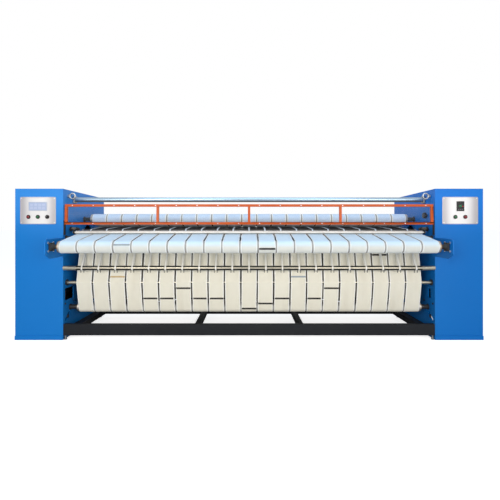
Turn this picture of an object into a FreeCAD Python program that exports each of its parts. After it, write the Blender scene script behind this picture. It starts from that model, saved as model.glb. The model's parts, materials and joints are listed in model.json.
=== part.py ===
"""Flatwork ironer: one heated drum, a belt-fed front table and an endless set of ironing belts,
carried between two side cabinets.

Lengths are millimetres. X runs across the machine, Y from front to back and Z up. The origin is on
the floor under the middle of the machine's box. Most places are given as a distance behind the
cabinets' front sheets ("back") and a height above the floor.
"""
import FreeCAD
import Part
import math
import os

# ---- overall ------------------------------------------------------------------------------------
overall_width = 4600.0
overall_height = 1485.0
overall_depth = 1480.0
feed_reach = 360.0              # the feed table's brackets stand this far in front of the cabinets
pipe_stub_length = 30.0         # pipe ends behind the cabinets' back sheets
cabinet_width = 475.0           # each cabinet, with its door and hinges
top_fall = 30.0                 # the cabinets' tops slope down to the back

# ---- fits ---------------------------------------------------------------------------------------
running_gap = 0.05              # shaft in its bearing, radial
soft_gap = 0.3                  # belt or tape to what it runs on
part_gap = 1.0                  # between painted parts that move past each other
hole_gap = 3.0                  # shaft to the hole it passes through in a frame plate
cut_over = 1.0                  # a cutting body runs this far past the faces it opens

# ---- cabinets -----------------------------------------------------------------------------------
frame_plate = 12.0
sheet = 3.0
plinth_height = 40.0
plinth_depth = 40.0
plinth_proud = 4.0
post_size = 40.0
post_wall = 3.0
skirt_top = 143.0
skirt_sheet = 4.0
door_bottom = 147.0
door_below_top = 45.0
door_thickness = 15.0
door_margin = 20.0
hinge_barrel_radius = 7.0
hinge_pin_radius = 4.0
hinge_knuckle = 40.0
hinge_leaf = 4.0
hinge_low = 330.0
hinge_below_top = 255.0
lock_radius = 12.0
lock_inset = 40.0               # from the door's front edge
lock_proud = 3.0
lock_height = 800.0

# ---- base frame ---------------------------------------------------------------------------------
base_clear = 44.0               # floor to the underside of the base beams
base_beam_height = 110.0
base_beam_depth = 45.0
base_rail_height = 60.0
side_rail_width = 85.0
cross_rail_width = 57.0
cross_rail_place = 535.0
rear_beam_back = 914.0
gusset_leg = 90.0
gusset_plate = 10.0
foot_pad_radius = 14.0
foot_pad_height = 14.0
foot_stud_radius = 9.0

# ---- belts and tapes ----------------------------------------------------------------------------
belt_room = 105.0               # least space between the outermost belts and the side frames
belt_width = 150.0
belt_pitch = 164.0
feed_belt_thickness = 4.0
iron_belt_thickness = 3.5
tape_width = 15.0
tape_thickness = 1.5

# ---- heated drum --------------------------------------------------------------------------------
drum_radius = 400.0
drum_back = 600.0
drum_height = 705.0
drum_wall = 12.0
drum_overhang = 15.0            # beyond the outermost belt edge
drum_end_plate = 20.0
journal_radius = 60.0
drum_bearing_size = 340.0
drum_bearing_flange = 20.0
drum_bearing_boss = 95.0
drum_bearing_length = 64.0
journal_slot_radius = 130.0
journal_slot_top = 1125.0

# ---- rollers and rods: place of the axis and size -----------------------------------------------
roller_overhang = 22.0          # beyond the outermost belt edge
roller_collar_radius = 23.0
bearing_nose = 53.0             # the bearing's nose reaches this far in from the side frame
bearing_nose_radius = 22.0
nose_rim_radius = 30.0
nose_rim = 8.0
top_roller_forward = 105.0      # in front of the drum's axis
top_roller_gap = 40.0           # roller to drum
top_roller_radius = 55.0
turn_roller_rise = 165.0        # above the drum's axis
turn_roller_gap = 20.0          # roller to drum
turn_roller_radius = 45.0
bottom_roller_back = 150.0
bottom_roller_height = 296.0
bottom_roller_radius = 46.0
rear_roller_back = 1000.0
rear_bottom_roller_height = 250.0
rear_top_roller_height = 1150.0
rear_roller_radius = 40.0
tape_idler_forward = 357.0      # in front of the drum's axis
tape_idler_gap = 70.0           # roller to drum
tape_idler_radius = 30.0
exit_rod_back = 10.0
exit_rod_height = 705.0
exit_rod_radius = 22.0
bend_rod_back = 70.0
bend_rod_height = 555.0
bend_rod_radius = 16.5
roller_shaft_radius = 17.5
small_shaft_radius = 12.5
bearing_size = 84.0
bearing_thickness = 32.0
small_bearing_size = 62.0
shaft_end = 6.0                 # shaft beyond its bearing
bush_radius = 30.0
bush_thickness = 14.0
peg_radius = 3.0
peg_length = 24.0
peg_clear = 4.0                 # tape edge to its guide peg

# ---- feed table ---------------------------------------------------------------------------------
feed_front_height = 930.0
feed_front_radius = 54.0
feed_front_overhang = 22.0
feed_rear_back = 60.0
feed_rise = 65.0                # rear feed roller above the front one
feed_rear_radius = 38.0
bracket_plate = 10.0
bracket_nose = 95.0             # from the front feed roller's axis forward to the bracket's nose
bracket_above = 74.0            # from that axis up to its top
bracket_below = 65.0            # down to the nose's lower corner
bracket_drop = 109.0            # down to its bottom
bracket_knee = 6.0              # forward to the bottom's front corner
bracket_corner = 28.0
feed_bearing_size = 76.0
feed_bearing_thickness = 20.0
press_roller_radius = 17.0
press_roller_overhang = 10.0    # beyond the outermost belt edge
press_pivot_behind = 85.0       # behind the rear feed roller's axis
press_pivot_rise = 91.0         # above it
press_arm_plate = 12.0
press_arm_gap = 14.0            # roller end to arm
press_arm_half = 17.0
press_pin_radius = 10.0
press_stub_radius = 8.0
guard_side_room = 9.0           # guard to side frame
guard_height = 200.0
guard_bar = 24.0
guard_bar_wall = 2.0
guard_rise = 138.0              # its bottom above the rear feed roller's axis
guard_back = 24.0
guard_lean = 2.0
guard_uprights = 5
guard_pane = 4.0
guard_pin_radius = 6.0
guard_pin_grip = 11.0
guard_post_width = 30.0
guard_post_clear = 5.0          # over the feed roller's bearing
guard_post_rise = 27.0          # above the guard's pivot

# ---- top tube and lifting eyes ------------------------------------------------------------------
top_tube_radius = 25.0
top_tube_wall = 3.0
top_tube_back = 243.0
top_tube_below_top = 95.0
tube_clamp_size = 72.0
tube_clamp_thickness = 20.0
eye_back = 107.0
eye_below_top = 67.0
eye_ring_radius = 27.0
eye_wire_radius = 8.0
eye_collar_radius = 18.0
eye_collar_thickness = 10.0

# ---- drive --------------------------------------------------------------------------------------
chain_pitch = 25.4
drum_teeth = 72
motor_teeth = 15
sprocket_thickness = 12.0
tooth_rise = 7.0                # tip above the pitch circle, and root below it
tooth_root_share = 0.32         # half a tooth's width at its root, of one tooth step
tooth_tip_share = 0.12          # and at its tip
sprocket_hub_radius = 88.0
sprocket_hub_length = 34.0
sprocket_stand = 91.0           # side frame to the inner face of both sprockets
chain_band = 6.0
chain_width = 22.0
motor_sprocket_back = 330.0
motor_sprocket_height = 250.0
motor_shaft_radius = 20.0
gearbox_gap = 10.0              # sprocket hub to gearbox
gearbox_width = 190.0
gearbox_depth = 220.0
gearbox_height = 230.0
gearbox_bore_depth = 70.0
motor_radius = 78.0
motor_length = 290.0
motor_shelf = 12.0
motor_shelf_width = 350.0

# ---- steam --------------------------------------------------------------------------------------
steam_nipple_radius = 20.0
steam_nipple_length = 46.0
steam_body_radius = 48.0
steam_body_length = 120.0
steam_pipe_radius = 15.0
condensate_pipe_radius = 10.0
steam_stub_radius = 16.85
condensate_stub_radius = 13.45
stub_wall = 3.2
condensate_height = 390.0
elbow_size = 44.0
gland_inset = 240.0             # from the machine's side
gland_height = 260.0
gland_radius = 18.0
gland_bore = 10.0
gland_inside = 16.0

# ---- controls -----------------------------------------------------------------------------------
panel_inset = 230.0             # middle of each control plate, from the machine's side
panel_below_top = 214.5
panel_width = 350.0
panel_tall = 266.0
panel_plate = 3.0
panel_corner = 12.0
panel_window_margin = 20.0
panel_screw_inset = 14.0
panel_screw_radius = 6.0
panel_screw_proud = 3.0
display_width = 180.0
display_tall = 87.0
display_rise = 40.5             # above the control plate's middle
display_proud = 6.0
display_depth = 46.0
display_rim = 8.0
display_recess = 2.0
controller_width = 72.0
controller_tall = 96.0
controller_rise = 42.5
controller_proud = 8.0
controller_depth = 90.0
controller_rim = 5.0
controller_recess = 2.0
button_drop = 62.5              # below the control plate's middle
left_button_pitch = 92.0
right_button_pitch = 97.0
button_radius = 13.0
button_proud = 14.0
button_travel = 4.0
button_neck = 24.0
collar_radius = 19.5
collar_proud = 7.0
collar_body_radius = 17.0
collar_body_length = 52.0
selector_grip_width = 9.0
selector_grip_proud = 24.0
selector_grip_inset = 2.0       # grip's end to the selector's edge
electric_box_stand = 93.0       # from the side frame
electric_box_width = 290.0
electric_box_depth = 150.0
electric_box_bottom = 470.0
electric_box_tall = 520.0

# ---- openings and fittings in the side frames ---------------------------------------------------
access_back = 41.0
access_deep = 195.0
access_bottom = 378.0
access_tall = 119.0
small_access_back = 96.0
small_access_deep = 60.0
small_access_bottom = 392.0
small_access_tall = 90.0
latch_radius = 9.0
adjust_slot_front = (58.0, 184.0)
adjust_slot_rear = (135.0, 243.0)
adjust_slot_radius = 14.0
bolt_head_radius = 10.0
bolt_head = 7.0
access_bolt_drop = 30.0         # bolts' axes below the wide access hole
knob_back = 176.0
knob_drop = 27.0                # under the middle between the press arms' pivot and the lifting eyes
knob_radius = 30.0
knob_thickness = 26.0
knob_neck_radius = 12.0
knob_neck = 14.0

# ---- worked out ---------------------------------------------------------------------------------
half_width = overall_width / 2
case_front = -overall_depth / 2 + feed_reach
case_depth = overall_depth - feed_reach - pipe_stub_length
frame_in = half_width - cabinet_width
frame_out = frame_in + frame_plate
door_out = half_width - hinge_barrel_radius
case_out = door_out - door_thickness - part_gap
lip_out = half_width - plinth_proud     # front and top sheets reach over the doors' edges
belt_count = int((2 * (frame_in - belt_room) - belt_width) // belt_pitch) + 1
belt_edge = (belt_count - 1) / 2 * belt_pitch + belt_width / 2
drum_end = belt_edge + drum_overhang
belt_starts = [(i - (belt_count - 1) / 2) * belt_pitch - belt_width / 2 for i in range(belt_count)]
bearing_out = frame_out + bearing_thickness
base_top = base_clear + base_beam_height


def beside_drum(along, gap, radius):
    """The other coordinate of a roller's axis beside the drum, from the drum's axis.

    along is its distance on the first axis and gap the space between roller and drum.
    """
    return math.sqrt((drum_radius + gap + radius) ** 2 - along ** 2)


top_roller_back = drum_back - top_roller_forward
top_roller_height = drum_height + beside_drum(top_roller_forward, top_roller_gap, top_roller_radius)
turn_roller_back = drum_back - beside_drum(turn_roller_rise, turn_roller_gap, turn_roller_radius)
turn_roller_height = drum_height + turn_roller_rise
tape_idler_back = drum_back - tape_idler_forward
tape_idler_height = drum_height + beside_drum(tape_idler_forward, tape_idler_gap, tape_idler_radius)
feed_front_back = bracket_nose - feed_reach
feed_rear_height = feed_front_height + feed_rise
press_end = belt_edge + press_roller_overhang
press_pivot_back = feed_rear_back + press_pivot_behind
press_pivot_height = feed_rear_height + press_pivot_rise
top_tube_height = overall_height - top_tube_below_top
eye_height = overall_height - eye_below_top
knob_height = (press_pivot_height + eye_height) / 2 - knob_drop
hinge_heights = (hinge_low, overall_height - hinge_below_top)
panel_place = half_width - panel_inset
panel_height = overall_height - panel_below_top
display_height = panel_height + display_rise
controller_height = panel_height + controller_rise
button_height = panel_height - button_drop
gland_place = half_width - gland_inset
sprocket_place = frame_out + sprocket_stand
journal_end = sprocket_place + sprocket_hub_length
gearbox_place = journal_end + gearbox_gap
electric_box_place = frame_out + electric_box_stand


def spot(x, back, height):
    """The point at a place given across, behind the cabinet fronts and above the floor."""
    return FreeCAD.Vector(x, case_front + back, height)


def slab(x_span, back_span, height_span):
    """A box between two values each way."""
    size = [b - a for a, b in (x_span, back_span, height_span)]
    return Part.makeBox(*size, spot(x_span[0], back_span[0], height_span[0]))


def bar(x_span, back, height, radius):
    """A round bar along X."""
    return Part.makeCylinder(radius, x_span[1] - x_span[0], spot(x_span[0], back, height),
                             FreeCAD.Vector(1, 0, 0))


def pipe(x_span, back, height, radius, bore):
    """A round tube along X."""
    inner = (x_span[0] - cut_over, x_span[1] + cut_over)
    return bar(x_span, back, height, radius).cut(bar(inner, back, height, bore))


def lengthwise(x, back_span, height, radius):
    """A round bar along Y."""
    return Part.makeCylinder(radius, back_span[1] - back_span[0], spot(x, back_span[0], height),
                             FreeCAD.Vector(0, 1, 0))


def upright(x, back, height_span, radius):
    """A round bar along Z."""
    return Part.makeCylinder(radius, height_span[1] - height_span[0], spot(x, back, height_span[0]))


def plate(x_span, outline):
    """A plate across X whose outline is a list of (back, height) points."""
    points = [spot(x_span[0], b, h) for b, h in outline]
    face = Part.Face(Part.makePolygon(points + [points[0]]))
    return face.extrude(FreeCAD.Vector(x_span[1] - x_span[0], 0, 0))


def slot(x_span, start, end, radius):
    """A long hole's body along X, between two end circles."""
    run = math.hypot(end[0] - start[0], end[1] - start[1])
    side = (-(end[1] - start[1]) / run * radius, (end[0] - start[0]) / run * radius)
    outline = [(start[0] + side[0], start[1] + side[1]), (end[0] + side[0], end[1] + side[1]),
               (end[0] - side[0], end[1] - side[1]), (start[0] - side[0], start[1] - side[1])]
    ends = [bar(x_span, *start, radius), bar(x_span, *end, radius)]
    return plate(x_span, outline).fuse(ends).removeSplitter()


def mirrored(shape):
    """The same piece on the left of the machine."""
    return shape.mirror(FreeCAD.Vector(0, 0, 0), FreeCAD.Vector(1, 0, 0))


def both_sides(shapes):
    """Right-hand pieces with their left-hand twins."""
    return list(shapes) + [mirrored(s) for s in shapes]


def joined(shapes):
    """One solid from shapes that touch or overlap."""
    return shapes[0].fuse(shapes[1:]).removeSplitter()


def save(node, shapes):
    """Writes one sub-part, a single solid or a group."""
    group = shapes if isinstance(shapes, list) else [shapes]
    solids = [s for shape in group for s in shape.Solids]
    for solid in solids:
        if not solid.isValid():
            print("not valid:", node)
    body = solids[0] if len(solids) == 1 else Part.makeCompound(solids)
    body.exportStep("parts/" + node + ".step")


def loop_wire(stops, shift):
    """A closed line round circles, in the plane x = 0.

    Each stop is (back, height, radius): the radius is positive where the line turns anticlockwise
    round the circle, seen with the back of the machine on the right, and negative where it turns
    clockwise. The line is moved outwards by shift.
    """
    rounds = [(b, h, r + shift) for b, h, r in stops]
    headings = []
    for (b0, h0, r0), (b1, h1, r1) in zip(rounds, rounds[1:] + rounds[:1]):
        run = math.hypot(b1 - b0, h1 - h0)
        headings.append(math.atan2(h1 - h0, b1 - b0) - math.asin((r1 - r0) / run))

    def touch(place, heading):
        back, height, radius = place
        return spot(0, back + radius * math.sin(heading), height - radius * math.cos(heading))

    edges = []
    for i, place in enumerate(rounds):
        arrive = headings[i - 1]
        leave = headings[i]
        turn = (leave - arrive) % (2 * math.pi)
        if place[2] < 0:
            turn -= 2 * math.pi
        first, middle, last = (touch(place, arrive + turn * k) for k in (0, 0.5, 1))
        edges.append(Part.Arc(first, middle, last).toShape())
        following = rounds[(i + 1) % len(rounds)]
        edges.append(Part.LineSegment(last, touch(following, leave)).toShape())
    return Part.Wire(edges)


def loop_band(stops, thickness, x_start, width):
    """An endless belt whose inner face follows the stops."""
    outer = Part.Face(loop_wire(stops, thickness))
    inner = Part.Face(loop_wire(stops, 0))
    body = outer.extrude(FreeCAD.Vector(width, 0, 0)).cut(inner.extrude(FreeCAD.Vector(width, 0, 0)))
    body.translate(FreeCAD.Vector(x_start, 0, 0))
    return body


# ---- cabinets -----------------------------------------------------------------------------------
def top_at(back):
    """Height of the cabinets' top face at a distance behind the front."""
    return overall_height - top_fall * back / case_depth


def frame_shafts():
    """Axes that pass through a side frame plate: (back, height, radius)."""
    return [(top_roller_back, top_roller_height, roller_shaft_radius),
            (turn_roller_back, turn_roller_height, roller_shaft_radius),
            (bottom_roller_back, bottom_roller_height, roller_shaft_radius),
            (rear_roller_back, rear_bottom_roller_height, roller_shaft_radius),
            (rear_roller_back, rear_top_roller_height, roller_shaft_radius),
            (feed_rear_back, feed_rear_height, roller_shaft_radius),
            (tape_idler_back, tape_idler_height, small_shaft_radius)]


def side_frame(access):
    """A side frame plate with its shaft holes, the drum journal's slot and one access hole."""
    span = (frame_in, frame_out)
    through = (frame_in - cut_over, frame_out + cut_over)
    rear = case_depth - sheet
    body = plate(span, [(sheet, plinth_height), (rear, plinth_height),
                        (rear, top_at(rear) - sheet), (sheet, top_at(sheet) - sheet)])
    cuts = []
    for back, height, radius in frame_shafts():
        clear = hole_gap if radius == small_shaft_radius else running_gap
        wide = radius if radius == small_shaft_radius else bearing_nose_radius
        cuts.append(bar(through, back, height, wide + clear))
    cuts.append(slot(through, (drum_back, drum_height), (drum_back, journal_slot_top - journal_slot_radius),
                     journal_slot_radius))
    cuts.append(slot(through, adjust_slot_front, adjust_slot_rear, adjust_slot_radius))
    cuts.append(slab(through, *access))
    return body.cut(cuts)


def cable_gland():
    """The mains cable's gland in the left back sheet."""
    span = (case_depth - sheet - gland_inside, case_depth + pipe_stub_length)
    wide = (span[0] - cut_over, span[1] + cut_over)
    body = lengthwise(-gland_place, span, gland_height, gland_radius)
    return body.cut(lengthwise(-gland_place, wide, gland_height, gland_bore))


def cabinet_pieces():
    """The sheet-metal shells of both cabinets."""
    wide_access = ((access_back, access_back + access_deep), (access_bottom, access_bottom + access_tall))
    small_access = ((small_access_back, small_access_back + small_access_deep),
                    (small_access_bottom, small_access_bottom + small_access_tall))
    save("side_frame_left", mirrored(side_frame(wide_access)))
    save("side_frame_right", side_frame(small_access))

    window = slab((panel_place - panel_width / 2 + panel_window_margin,
                   panel_place + panel_width / 2 - panel_window_margin), (-cut_over, sheet + cut_over),
                  (panel_height - panel_tall / 2 + panel_window_margin,
                   panel_height + panel_tall / 2 - panel_window_margin))
    front = slab((frame_in, lip_out), (0, sheet), (plinth_height, top_at(sheet) - sheet)).cut(window)
    save("cabinet_fronts", both_sides([front]))

    top = plate((frame_in, lip_out), [(0, top_at(0) - sheet), (case_depth, top_at(case_depth) - sheet),
                                       (case_depth, top_at(case_depth)), (0, top_at(0))])
    save("cabinet_tops", both_sides([top]))

    back_span = (case_depth - sheet, case_depth)
    rear_sheet = slab((frame_in, case_out), back_span, (plinth_height, top_at(case_depth) - sheet))
    hole = (case_depth - sheet - cut_over, case_depth + cut_over)
    steam_x = steam_middle()
    right = rear_sheet.cut([lengthwise(steam_x, hole, drum_height, steam_pipe_radius + running_gap),
                            lengthwise(steam_x, hole, condensate_height,
                                       condensate_pipe_radius + running_gap)])
    left = mirrored(rear_sheet).cut(lengthwise(-gland_place, hole, gland_height,
                                               gland_radius + running_gap))
    save("cabinet_backs", [right, left, cable_gland()])

    posts = []
    for back in (sheet, case_depth - sheet - post_size):
        span = (plinth_height, top_at(case_depth) - sheet - part_gap)
        outside = slab((case_out - post_size, case_out), (back, back + post_size), span)
        inside = slab((case_out - post_size + post_wall, case_out - post_wall),
                      (back + post_wall, back + post_size - post_wall),
                      (span[0] - cut_over, span[1] + cut_over))
        posts.append(outside.cut(inside))
    save("cabinet_posts", both_sides(posts))

    ends = (plinth_depth - plinth_proud, case_depth - plinth_depth)
    bars = [slab((frame_in, half_width), (-plinth_proud, ends[0]), (0, plinth_height)),
            slab((frame_in, half_width), (ends[1], case_depth), (0, plinth_height)),
            slab((frame_in, frame_in + plinth_depth), ends, (0, plinth_height)),
            slab((half_width - plinth_depth, half_width), ends, (0, plinth_height)),
            slab((case_out, case_out + skirt_sheet), (sheet, case_depth), (plinth_height, skirt_top))]
    save("cabinet_plinths", both_sides(bars))


def hinge_axis():
    """Place of a door's hinge pin: (x, back)."""
    return door_out, case_depth - door_margin / 2


def door_pieces():
    """Side doors, their knuckles and locks, and the fixed hinge halves."""
    inner = door_out - door_thickness
    span_back = (door_margin / 2, case_depth - door_margin)
    span_height = (door_bottom, top_at(case_depth) - door_below_top)
    shell = slab((inner, door_out), span_back, span_height)
    hollow = slab((inner - cut_over, door_out - sheet), (span_back[0] + sheet, span_back[1] - sheet),
                  (span_height[0] + sheet, span_height[1] - sheet))
    door = [shell.cut(hollow)]
    hinge_x, hinge_back = hinge_axis()
    fixed = []
    for height in hinge_heights:
        middle = (height - hinge_knuckle / 2, height + hinge_knuckle / 2)
        knuckle = upright(hinge_x, hinge_back, middle, hinge_barrel_radius)
        leaf = slab((inner + sheet, hinge_x), (span_back[1], hinge_back + hinge_leaf / 2), middle)
        bore = upright(hinge_x, hinge_back, (middle[0] - cut_over, middle[1] + cut_over),
                       hinge_pin_radius + running_gap)
        door.append(joined([knuckle, leaf]).cut(bore))
        pieces = [upright(hinge_x, hinge_back, (middle[0] - hinge_knuckle / 2 - part_gap,
                                                middle[1] + hinge_knuckle / 2 + part_gap), hinge_pin_radius)]
        for low in (middle[0] - hinge_knuckle / 2 - part_gap, middle[1] + part_gap):
            ends = (low, low + hinge_knuckle / 2)
            pieces.append(upright(hinge_x, hinge_back, ends, hinge_barrel_radius))
            pieces.append(slab((case_out, hinge_x),
                               (hinge_back - hinge_leaf / 2, hinge_back + hinge_leaf / 2), ends))
        fixed.append(joined(pieces))
    lock = bar((door_out, door_out + lock_proud), span_back[0] + lock_inset, lock_height, lock_radius)
    door.append(lock)
    save("side_door_right", door)
    save("side_door_left", [mirrored(s) for s in door])
    save("door_hinges", both_sides(fixed))


# ---- base frame ---------------------------------------------------------------------------------
def base_pieces():
    """The black frame on the floor between the cabinets."""
    rail_top = base_clear + base_rail_height
    front_span = (0, base_beam_depth)
    rear_span = (rear_beam_back, rear_beam_back + base_beam_depth)
    save("base_front_beam", slab((-frame_in, frame_in), front_span, (base_clear, base_top)))
    save("base_rear_beam", slab((-frame_in, frame_in), rear_span, (base_clear, base_top)))
    side_span = (frame_in - side_rail_width, frame_in)
    side = slab(side_span, (front_span[1], rear_span[0]), (base_clear, rail_top))
    gussets = []
    for back, step in ((front_span[1], 1), (rear_span[0], -1)):
        corner = side_span[0]
        points = [spot(corner, back, rail_top), spot(corner - gusset_leg, back, rail_top),
                  spot(corner, back + step * gusset_leg, rail_top)]
        face = Part.Face(Part.makePolygon(points + points[:1]))
        gussets.append(face.extrude(FreeCAD.Vector(0, 0, -gusset_plate)))
    save("base_side_rails", both_sides([side] + gussets))
    cross = slab((cross_rail_place - cross_rail_width / 2, cross_rail_place + cross_rail_width / 2),
                 (front_span[1], rear_span[0]), (base_clear, rail_top))
    save("base_cross_rails", both_sides([cross]))
    feet = []
    foot_x = frame_in - foot_pad_radius
    for span in (front_span, rear_span):
        back = (span[0] + span[1]) / 2
        pad = upright(foot_x, back, (0, foot_pad_height), foot_pad_radius)
        feet.append(joined([pad, upright(foot_x, back, (foot_pad_height, base_clear), foot_stud_radius)]))
    save("levelling_feet", both_sides(feet))


# ---- rollers ------------------------------------------------------------------------------------
def roller(back, height, radius, tube_end, shaft_radius, shaft_out):
    """A belt roller: its tube and the two shaft ends."""
    tube = bar((-tube_end, tube_end), back, height, radius)
    stub = bar((tube_end, shaft_out), back, height, shaft_radius)
    return [tube] + both_sides([stub])


def collared_roller(back, height, radius):
    """A belt roller of the ironing section, with a collar between its tube and each bearing."""
    tube_end = belt_edge + roller_overhang
    collar_end = frame_in - bearing_nose - part_gap
    tube = bar((-tube_end, tube_end), back, height, radius)
    collar = bar((tube_end, collar_end), back, height, roller_collar_radius)
    stub = bar((collar_end, bearing_out + shaft_end), back, height, roller_shaft_radius)
    return [tube] + both_sides([collar, stub])


def block_bearing(x_span, back, height, size, shaft_radius):
    """A square flange bearing with a running bore."""
    body = slab(x_span, (back - size / 2, back + size / 2), (height - size / 2, height + size / 2))
    through = (x_span[0] - cut_over, x_span[1] + cut_over)
    return body.cut(bar(through, back, height, shaft_radius + running_gap))


def nosed_bearing(back, height):
    """A flange bearing outside the side frame whose nose and rim show on the inside."""
    half = bearing_size / 2
    flange = slab((frame_out, bearing_out), (back - half, back + half), (height - half, height + half))
    nose = bar((frame_in - bearing_nose, frame_out), back, height, bearing_nose_radius)
    rim = bar((frame_in - nose_rim, frame_in), back, height, nose_rim_radius)
    bore = bar((frame_in - bearing_nose - cut_over, bearing_out + cut_over), back, height,
               roller_shaft_radius + running_gap)
    return joined([flange, nose, rim]).cut(bore)


def roller_pieces():
    """Every turning roller of the ironing section, with the bearings outside the frame plates."""
    save("top_roller", collared_roller(top_roller_back, top_roller_height, top_roller_radius))
    save("turn_roller", collared_roller(turn_roller_back, turn_roller_height, turn_roller_radius))
    save("bottom_roller", collared_roller(bottom_roller_back, bottom_roller_height, bottom_roller_radius))
    save("rear_bottom_roller", collared_roller(rear_roller_back, rear_bottom_roller_height,
                                               rear_roller_radius))
    save("rear_top_roller", collared_roller(rear_roller_back, rear_top_roller_height, rear_roller_radius))
    save("tape_idler", roller(tape_idler_back, tape_idler_height, tape_idler_radius,
                              belt_edge + roller_overhang, small_shaft_radius, bearing_out + shaft_end))
    bearings = []
    for back, height, radius in frame_shafts():
        if radius == small_shaft_radius:
            span = (frame_out, bearing_out)
            bearings.append(block_bearing(span, back, height, small_bearing_size, radius))
        else:
            bearings.append(nosed_bearing(back, height))
    save("roller_bearings", both_sides(bearings))


def rod_pieces():
    """The two fixed rods in front, their wall bushes and the tape guide pegs."""
    rod = bar((-frame_in, frame_in), exit_rod_back, exit_rod_height, exit_rod_radius)
    pegs = []
    for start in belt_starts:
        middle = start + belt_width / 2
        for side in (-1, 1):
            x = middle + side * (tape_width / 2 + peg_clear + peg_radius)
            span = (exit_rod_height - exit_rod_radius - peg_length, exit_rod_height)
            pegs.append(upright(x, exit_rod_back, span, peg_radius))
    save("exit_rod", rod.fuse(pegs).removeSplitter())
    save("bend_rod", bar((-frame_in, frame_in), bend_rod_back, bend_rod_height, bend_rod_radius))
    bush_span = (frame_in - bush_thickness, frame_in)
    bush = pipe(bush_span, bend_rod_back, bend_rod_height, bush_radius, bend_rod_radius + running_gap)
    save("rod_bushes", both_sides([bush]))


def drum_pieces():
    """The heated drum, its journals and main bearings."""
    shell = pipe((-drum_end, drum_end), drum_back, drum_height, drum_radius, drum_radius - drum_wall)
    save("drum_shell", shell)
    disc = bar((drum_end - drum_end_plate, drum_end), drum_back, drum_height, drum_radius - drum_wall)
    journal = bar((drum_end, journal_end), drum_back, drum_height, journal_radius)
    left = mirrored(joined([disc, journal]))
    nipple = bar((journal_end, journal_end + steam_nipple_length), drum_back, drum_height,
                 steam_nipple_radius)
    save("drum_ends", [joined([disc, journal, nipple]), left])
    flange_span = (frame_out, frame_out + drum_bearing_flange)
    half = drum_bearing_size / 2
    flange = slab(flange_span, (drum_back - half, drum_back + half),
                  (drum_height - half, drum_height + half))
    boss = bar((frame_out, frame_out + drum_bearing_length), drum_back, drum_height, drum_bearing_boss)
    bore = bar((frame_out - cut_over, frame_out + drum_bearing_length + cut_over), drum_back, drum_height,
               journal_radius + running_gap)
    save("drum_bearings", both_sides([joined([flange, boss]).cut(bore)]))


# ---- belts --------------------------------------------------------------------------------------
def iron_stops():
    """Circles that the ironing belts' inner face follows, from the drum round to the top roller."""
    on_drum = drum_radius + soft_gap + tape_thickness + soft_gap + iron_belt_thickness
    return [(drum_back, drum_height, -on_drum),
            (turn_roller_back, turn_roller_height, turn_roller_radius + soft_gap),
            (bend_rod_back, bend_rod_height, bend_rod_radius + soft_gap),
            (bottom_roller_back, bottom_roller_height, bottom_roller_radius + soft_gap),
            (rear_roller_back, rear_bottom_roller_height, rear_roller_radius + soft_gap),
            (rear_roller_back, rear_top_roller_height, rear_roller_radius + soft_gap),
            (top_roller_back, top_roller_height, top_roller_radius + soft_gap)]


def tape_stops():
    """Circles that the guide tapes follow: turn roller, exit rod, idler and drum."""
    on_belt = turn_roller_radius + soft_gap + iron_belt_thickness + soft_gap
    return [(turn_roller_back, turn_roller_height, on_belt),
            (exit_rod_back, exit_rod_height, -exit_rod_radius - soft_gap - tape_thickness),
            (tape_idler_back, tape_idler_height, -tape_idler_radius - soft_gap - tape_thickness),
            (drum_back, drum_height, -drum_radius - soft_gap - tape_thickness)]


def feed_stops():
    """Circles that the feed belts' inner face follows."""
    return [(feed_front_back, feed_front_height, feed_front_radius + soft_gap),
            (feed_rear_back, feed_rear_height, feed_rear_radius + soft_gap)]


def belt_pieces():
    """The three sets of endless belts and tapes, one of each side by side across the machine."""
    save("ironing_belts", [loop_band(iron_stops(), iron_belt_thickness, x, belt_width) for x in belt_starts])
    save("feed_belts", [loop_band(feed_stops(), feed_belt_thickness, x, belt_width) for x in belt_starts])
    inset = (belt_width - tape_width) / 2
    tapes = [tape_band(x + inset) for x in belt_starts]
    save("guide_tapes", tapes)


def tape_band(x_start):
    """One guide tape. Its loop turns clockwise, so its faces swap sides."""
    stops = tape_stops()
    wide = Part.Face(loop_wire(stops, 0))
    narrow = Part.Face(loop_wire(stops, tape_thickness))
    run = FreeCAD.Vector(tape_width, 0, 0)
    body = wide.extrude(run).cut(narrow.extrude(run))
    body.translate(FreeCAD.Vector(x_start, 0, 0))
    return body


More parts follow.
